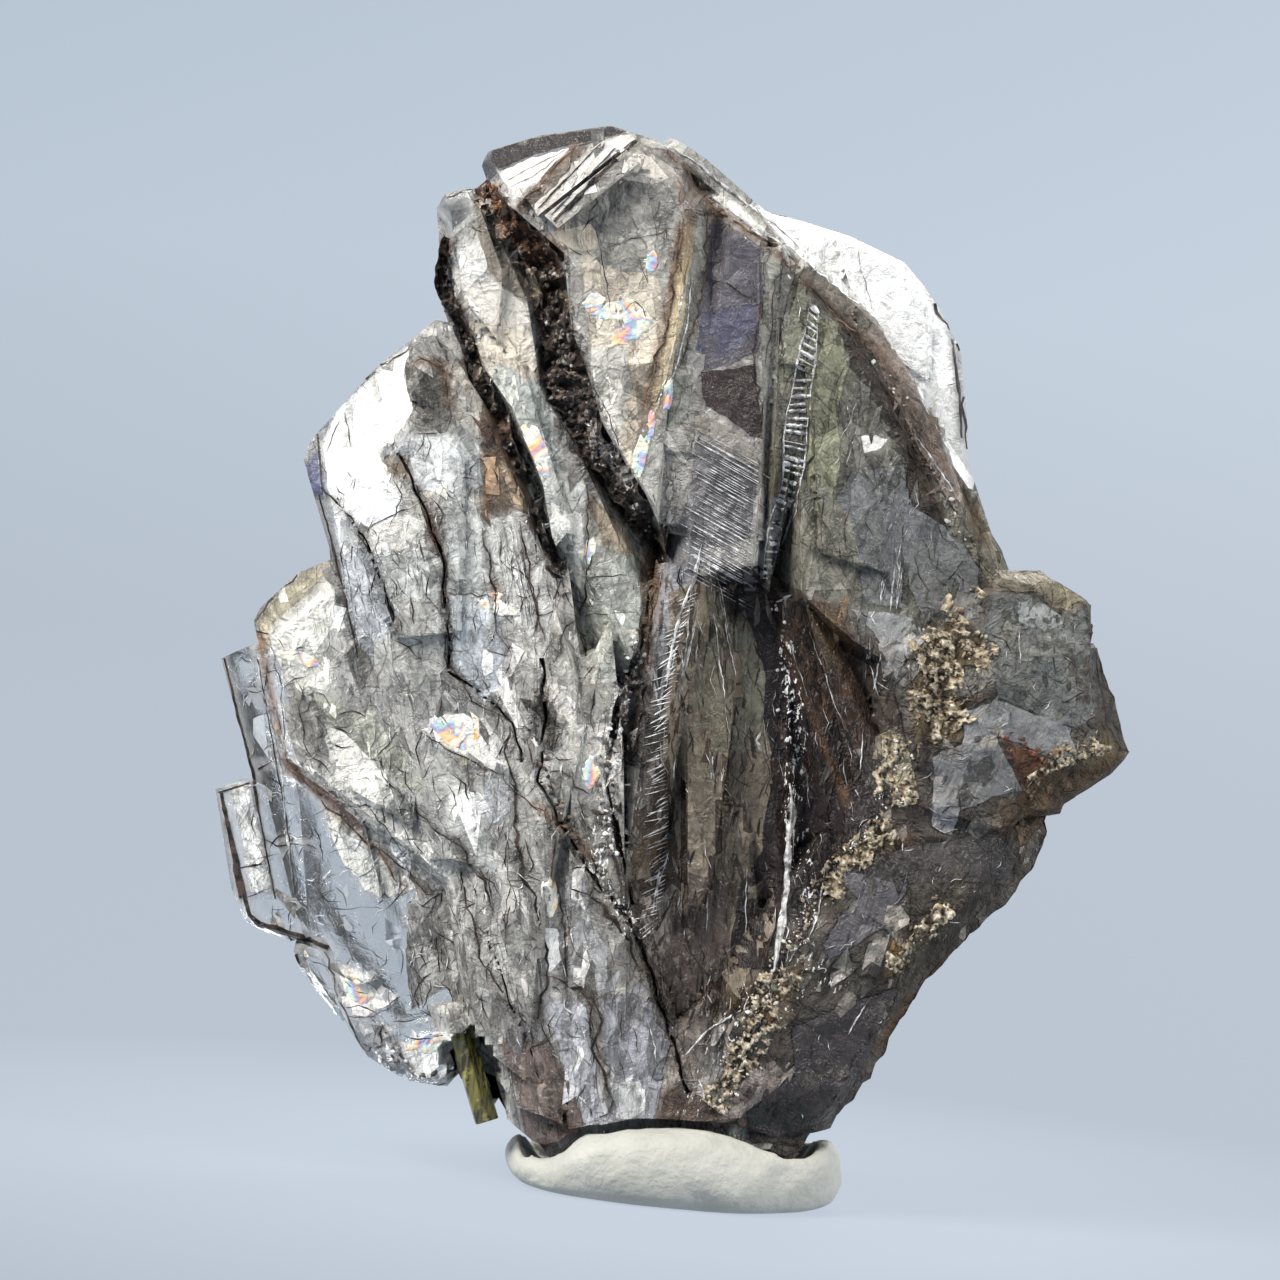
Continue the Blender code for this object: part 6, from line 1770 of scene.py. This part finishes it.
class SPECIMEN_OT_bridges(bpy.types.Operator):
    """Nearly close the narrow fissures with broken crystal, and leave thin open cracks"""
    bl_idname = "specimen.bridges"
    bl_label = "Bridged Fissures"

    def execute(self, context):
        find = surface_finder("axinite_crystals")
        bm = bmesh.new()
        for seed, (opening, stations) in enumerate(BRIDGED):
            lay_bridge(bm, find, stations, opening, seed * 6.1)
        material = axinite_material(context.scene.crystal, "thin_axinite", thick=False)
        piece = new_piece("bridged_fissures", bm, material)
        spots = corner_places(piece.data)
        values = np.tile(np.array(linear("#9A9894")[:3] + FINISHES["matt"]), (len(spots), 1))
        # The bridges take the patches' colours, with their painted highlights and shade
        lay_patches(values, spots[:, [0, 2]])
        lay_crack_shade_and_stain(values, spots[:, [0, 2]])
        values[:, 3] = 0.0
        write_paint(piece.data, spots, values, np.zeros(len(spots)))
        return {"FINISHED"}


class SPECIMEN_OT_crust(bpy.types.Operator):
    """Lay crumbly beds of limonite and clay in the lobe's hollows"""
    bl_idname = "specimen.crust"
    bl_label = "Limonite Crust"

    def execute(self, context):
        find = surface_finder("axinite_crystals", "bridged_fissures")
        bm = bmesh.new()
        lump = bm.verts.layers.float.new("lump")
        for seed, (_, half, _, colours, path) in enumerate(CRUMB_BEDS):
            if colours is EARTHY or half > 0.52:
                lay_crust(bm, find, path, half, seed * 3.3)
        lumps = [vert[lump] for vert in bm.verts]
        piece = new_piece("limonite_crust", bm, crumb_material())
        # Painted shade: the lower a corner of the crust lies, the darker its colour
        ramp = [linear(hex_colour) for _, hex_colour in CRUST_TONES_AND_SHADE]
        levels = [level for level, _ in CRUST_TONES_AND_SHADE]
        tints = np.column_stack([np.interp(lumps, levels, channel) for channel in zip(*ramp)])
        layer = piece.data.attributes.new("tint", "FLOAT_COLOR", "POINT")
        layer.data.foreach_set("color", tints.astype(np.float32).ravel())
        return {"FINISHED"}


class SPECIMEN_OT_crumbs(bpy.types.Operator):
    """Scatter angular crumbs of stained crystal, limonite and clay in the fissures and hollows"""
    bl_idname = "specimen.crumbs"
    bl_label = "Crumbs"

    def execute(self, context):
        find = surface_finder("axinite_crystals", "fissure_rubble", "bridged_fissures", "limonite_crust")
        rng = random.Random(12)
        whole = bmesh.new()
        tints = []
        for share, half, sizes, colours, path in CRUMB_BEDS:
            spots = []
            for start, end in zip(path, path[1:]):
                start, end = Vector(start), Vector(end)
                across = Vector((start.y - end.y, end.x - start.x)).normalized()
                for _ in range(round((end - start).length * 2 * half * share)):
                    spot = start.lerp(end, rng.random()) + across * half * rng.triangular(-1.2, 1.2, 0)
                    hit = find(spot, FRONT)
                    if hit is not None:
                        spots.append(hit + Vector((0, rng.uniform(-0.06, 0.03) * MM, 0)))
            bm, number = make_crumbs(rng, spots, sizes)
            shades = [linear(rng.choice(colours)) for _ in spots]
            tints += [shades[face[number]] for face in bm.faces for _ in range(3)]
            pour(bm, whole)
        piece = new_piece("crumbs", whole, bpy.data.materials["limonite_crumbs"])
        layer = piece.data.attributes.new("tint", "FLOAT_COLOR", "CORNER")
        layer.data.foreach_set("color", np.array(tints, dtype=np.float32).ravel())
        return {"FINISHED"}


class SPECIMEN_OT_films(bpy.types.Operator):
    """Lay the thin interference films that flash in the fractures"""
    bl_idname = "specimen.films"
    bl_label = "Interference Films"

    def execute(self, context):
        find = surface_finder("axinite_crystals")
        bm = bmesh.new()
        for seed, (middle, half, turn) in enumerate(FILMS):
            lay_film(bm, find, middle, half, turn, seed * 4.1)
        new_piece("interference_films", bm, film_material())
        return {"FINISHED"}


class SPECIMEN_OT_epidote(bpy.types.Operator):
    """Grow the small striated epidote prism"""
    bl_idname = "specimen.epidote"
    bl_label = "Epidote Prism"

    def execute(self, context):
        bm = bmesh.new()
        bm.from_mesh(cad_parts["epidote_prism"].data)
        bmesh.ops.remove_doubles(bm, verts=bm.verts, dist=MERGE_REACH)
        bmesh.ops.dissolve_limit(bm, angle_limit=math.radians(1), verts=bm.verts, edges=bm.edges)
        bmesh.ops.bevel(bm, geom=bm.edges[:], offset=0.04 * MM, offset_type="OFFSET", segments=2, profile=0.5,
                        affect="EDGES", clamp_overlap=True, material=-1)
        bmesh.ops.subdivide_edges(bm, edges=bm.edges[:], cuts=5, use_grid_fill=True)
        piece = new_piece("epidote_crystal", bm, epidote_material(context.scene.crystal))
        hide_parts("epidote_prism")
        return {"FINISHED"}


class SPECIMEN_OT_putty(bpy.types.Operator):
    """Knead the mounting putty smooth, with soft dents"""
    bl_idname = "specimen.putty"
    bl_label = "Mounting Putty"

    def execute(self, context):
        bm = bmesh.new()
        bm.from_mesh(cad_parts["mounting_putty"].data)
        bmesh.ops.remove_doubles(bm, verts=bm.verts, dist=MERGE_REACH)
        piece = new_piece("kneaded_putty", bm, putty_material(context.scene.crystal))
        remesh = piece.modifiers.new("even skin", "REMESH")
        remesh.mode = "VOXEL"
        remesh.voxel_size = 0.16 * MM
        smooth = piece.modifiers.new("kneaded", "SMOOTH")
        smooth.factor = 0.6
        smooth.iterations = 8
        mesh = bpy.data.meshes.new_from_object(piece.evaluated_get(context.evaluated_depsgraph_get()))
        piece.modifiers.clear()
        piece.data = mesh
        for vert in mesh.vertices:
            dent = noise.fractal(vert.co / MM * 0.55, 0.8, 2.0, 3)
            vert.co += vert.normal * dent * 0.1 * MM * min(1.0, vert.co.z / (0.4 * MM))
            vert.co.z = max(vert.co.z, 0.0)
        mesh.shade_smooth()
        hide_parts("mounting_putty")
        return {"FINISHED"}


class SPECIMEN_OT_studio(bpy.types.Operator):
    """Set the pale bowl backdrop, the soft lamps and the camera"""
    bl_idname = "specimen.studio"
    bl_label = "Studio"

    def execute(self, context):
        settings = context.scene.studio
        self.add_backdrop(settings)
        self.add_lamps(settings)
        self.add_camera(context, settings)
        world = bpy.data.worlds.new("dim_ceiling")
        world.use_nodes = True
        world.node_tree.nodes["Background"].inputs["Color"].default_value = linear("#B9C2CC")
        world.node_tree.nodes["Background"].inputs["Strength"].default_value = 0.45
        context.scene.world = world
        context.scene.view_settings.view_transform = "Standard"
        cycles = context.scene.cycles
        cycles.max_bounces = 8
        cycles.transmission_bounces = 6
        cycles.glossy_bounces = 3
        cycles.diffuse_bounces = 1
        cycles.volume_bounces = 0
        cycles.caustics_reflective = False
        cycles.caustics_refractive = False
        return {"FINISHED"}

    def add_backdrop(self, settings):
        """Spin a floor that curves up into a round wall, softly lit from behind."""
        bm = bmesh.new()
        profile = [(0.0, 0.0), (0.2, 0.0), (0.5, 0.0)]
        profile += [(0.5 + 0.25 * math.sin(math.radians(a)), 0.25 * (1 - math.cos(math.radians(a))))
                    for a in range(10, 91, 10)]
        profile.append((0.75, 1.1))
        points = [bm.verts.new((x, 0, z)) for x, z in profile]
        edges = [bm.edges.new(pair) for pair in zip(points, points[1:])]
        bmesh.ops.spin(bm, geom=points + edges, axis=(0, 0, 1), cent=(0, 0, 0), steps=96, angle=2 * math.pi,
                       use_merge=True)
        bmesh.ops.remove_doubles(bm, verts=bm.verts, dist=1e-6)
        bmesh.ops.recalc_face_normals(bm, faces=bm.faces)
        bmesh.ops.reverse_faces(bm, faces=bm.faces)
        mesh = bpy.data.meshes.new("backdrop")
        bm.to_mesh(mesh)
        bm.free()
        mesh.shade_smooth()
        bowl = bpy.data.objects.new("backdrop", mesh)
        bpy.context.scene.collection.objects.link(bowl)
        mesh.materials.append(self.backdrop_material(settings))

    def backdrop_material(self, settings):
        """Frosted acrylic lit from behind: an even pale blue-grey, a little deeper towards the top."""
        material, add, finish = new_material("frosted_backdrop")
        spot = add("TexCoord", out="Object")
        height = add("SeparateXYZ", spot, out="Z")
        across = add("SeparateXYZ", spot, out="X")
        depth = add("SeparateXYZ", spot, out="Y")
        rise = add("Math MULTIPLY_ADD", across, -0.5, height)
        glow = add("Mix RGBA", add("MapRange", rise, -0.05, 0.2), {6: linear(settings.backdrop_low_hex),
                                                                   7: linear(settings.backdrop_high_hex)})
        nearer = add("MapRange", depth, -0.45, 0.0, 0.4, 1.0)
        lower = add("MapRange", height, 0.0, 0.06, 0.86, 1.0)
        glow = add("VectorMath SCALE", glow, {3: add("Math MULTIPLY", nearer, lower)})
        away = add("VectorMath LENGTH", spot, out="Value")
        shaded = add("Mix RGBA", add("MapRange", away, 0.012, 0.035),
                     {6: linear("#3C4044"), 7: linear("#000000")})
        finish(Base_Color=shaded, Roughness=0.9, Specular_IOR_Level=0.0, Emission_Color=glow,
               Emission_Strength=0.97)
        material.cycles.emission_sampling = "NONE"
        return material

    def add_lamps(self, settings):
        """Add large soft lamps, a bright one at the upper left and weaker ones at the right and behind."""
        aim = place(0, 17)
        for name, spot, size, power in (
                ("key", (-0.26, -0.17, 0.3), 0.2, settings.key_power),
                ("right_fill", (0.3, -0.12, 0.18), 0.15, settings.key_power * 0.32),
                ("back", (0.12, 0.36, 0.3), 0.2, settings.key_power * 0.5)):
            lamp = bpy.data.lights.new(name, "AREA")
            lamp.shape = "SQUARE"
            lamp.size = size
            lamp.energy = power
            lamp.color = linear("#FFFAF2")[:3]
            holder = bpy.data.objects.new(name, lamp)
            holder.location = spot
            holder.rotation_euler = (aim - Vector(spot)).to_track_quat("-Z", "Y").to_euler()
            bpy.context.scene.collection.objects.link(holder)

    def add_camera(self, context, settings):
        """Look at the cluster from the front, rolled with its lean."""
        camera = bpy.data.cameras.new("camera")
        camera.lens = settings.lens
        camera.sensor_width = 36.0
        camera.clip_start = 0.002
        distance = IMAGE_FRAME_WIDTH * MM * camera.lens / camera.sensor_width
        toward = Vector((0, -math.cos(settings.elevation), math.sin(settings.elevation)))
        holder = bpy.data.objects.new("camera", camera)
        turn = (-toward).to_track_quat("-Z", "Y").to_matrix().to_4x4() @ Matrix.Rotation(LEAN, 4, "Z")
        holder.matrix_world = Matrix.Translation(place(*VIEW_CENTRE) + toward * distance) @ turn
        context.scene.collection.objects.link(holder)
        context.scene.camera = holder


class SPECIMEN_PT_panel(bpy.types.Panel):
    """List the specimen's operators and settings"""
    bl_idname = "SPECIMEN_PT_panel"
    bl_label = "Axinite Specimen"
    bl_space_type = "VIEW_3D"
    bl_region_type = "UI"
    bl_category = "Specimen"

    def draw(self, context):
        for settings in (context.scene.crystal, context.scene.studio):
            for name in settings.bl_rna.properties.keys():
                if name not in ("rna_type", "name"):
                    self.layout.prop(settings, name)
        for operator in OPERATORS:
            self.layout.operator(operator.bl_idname)


OPERATORS = (SPECIMEN_OT_cluster, SPECIMEN_OT_bridges, SPECIMEN_OT_rubble, SPECIMEN_OT_plates,
             SPECIMEN_OT_crust, SPECIMEN_OT_crumbs, SPECIMEN_OT_cracks, SPECIMEN_OT_growth_edges,
             SPECIMEN_OT_films, SPECIMEN_OT_epidote, SPECIMEN_OT_putty, SPECIMEN_OT_studio)
CLASSES = (CrystalSettings, StudioSettings) + OPERATORS + (SPECIMEN_PT_panel,)


def register():
    for cls in CLASSES:
        bpy.utils.register_class(cls)
    bpy.types.Scene.crystal = bpy.props.PointerProperty(type=CrystalSettings)
    bpy.types.Scene.studio = bpy.props.PointerProperty(type=StudioSettings)


def unregister():
    del bpy.types.Scene.studio
    del bpy.types.Scene.crystal
    for cls in reversed(CLASSES):
        bpy.utils.unregister_class(cls)


def main():
    """Register the add-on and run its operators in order."""
    register()
    for operator in OPERATORS:
        group, name = operator.bl_idname.split(".")
        getattr(getattr(bpy.ops, group), name)()


if __name__ == "__main__":
    main()
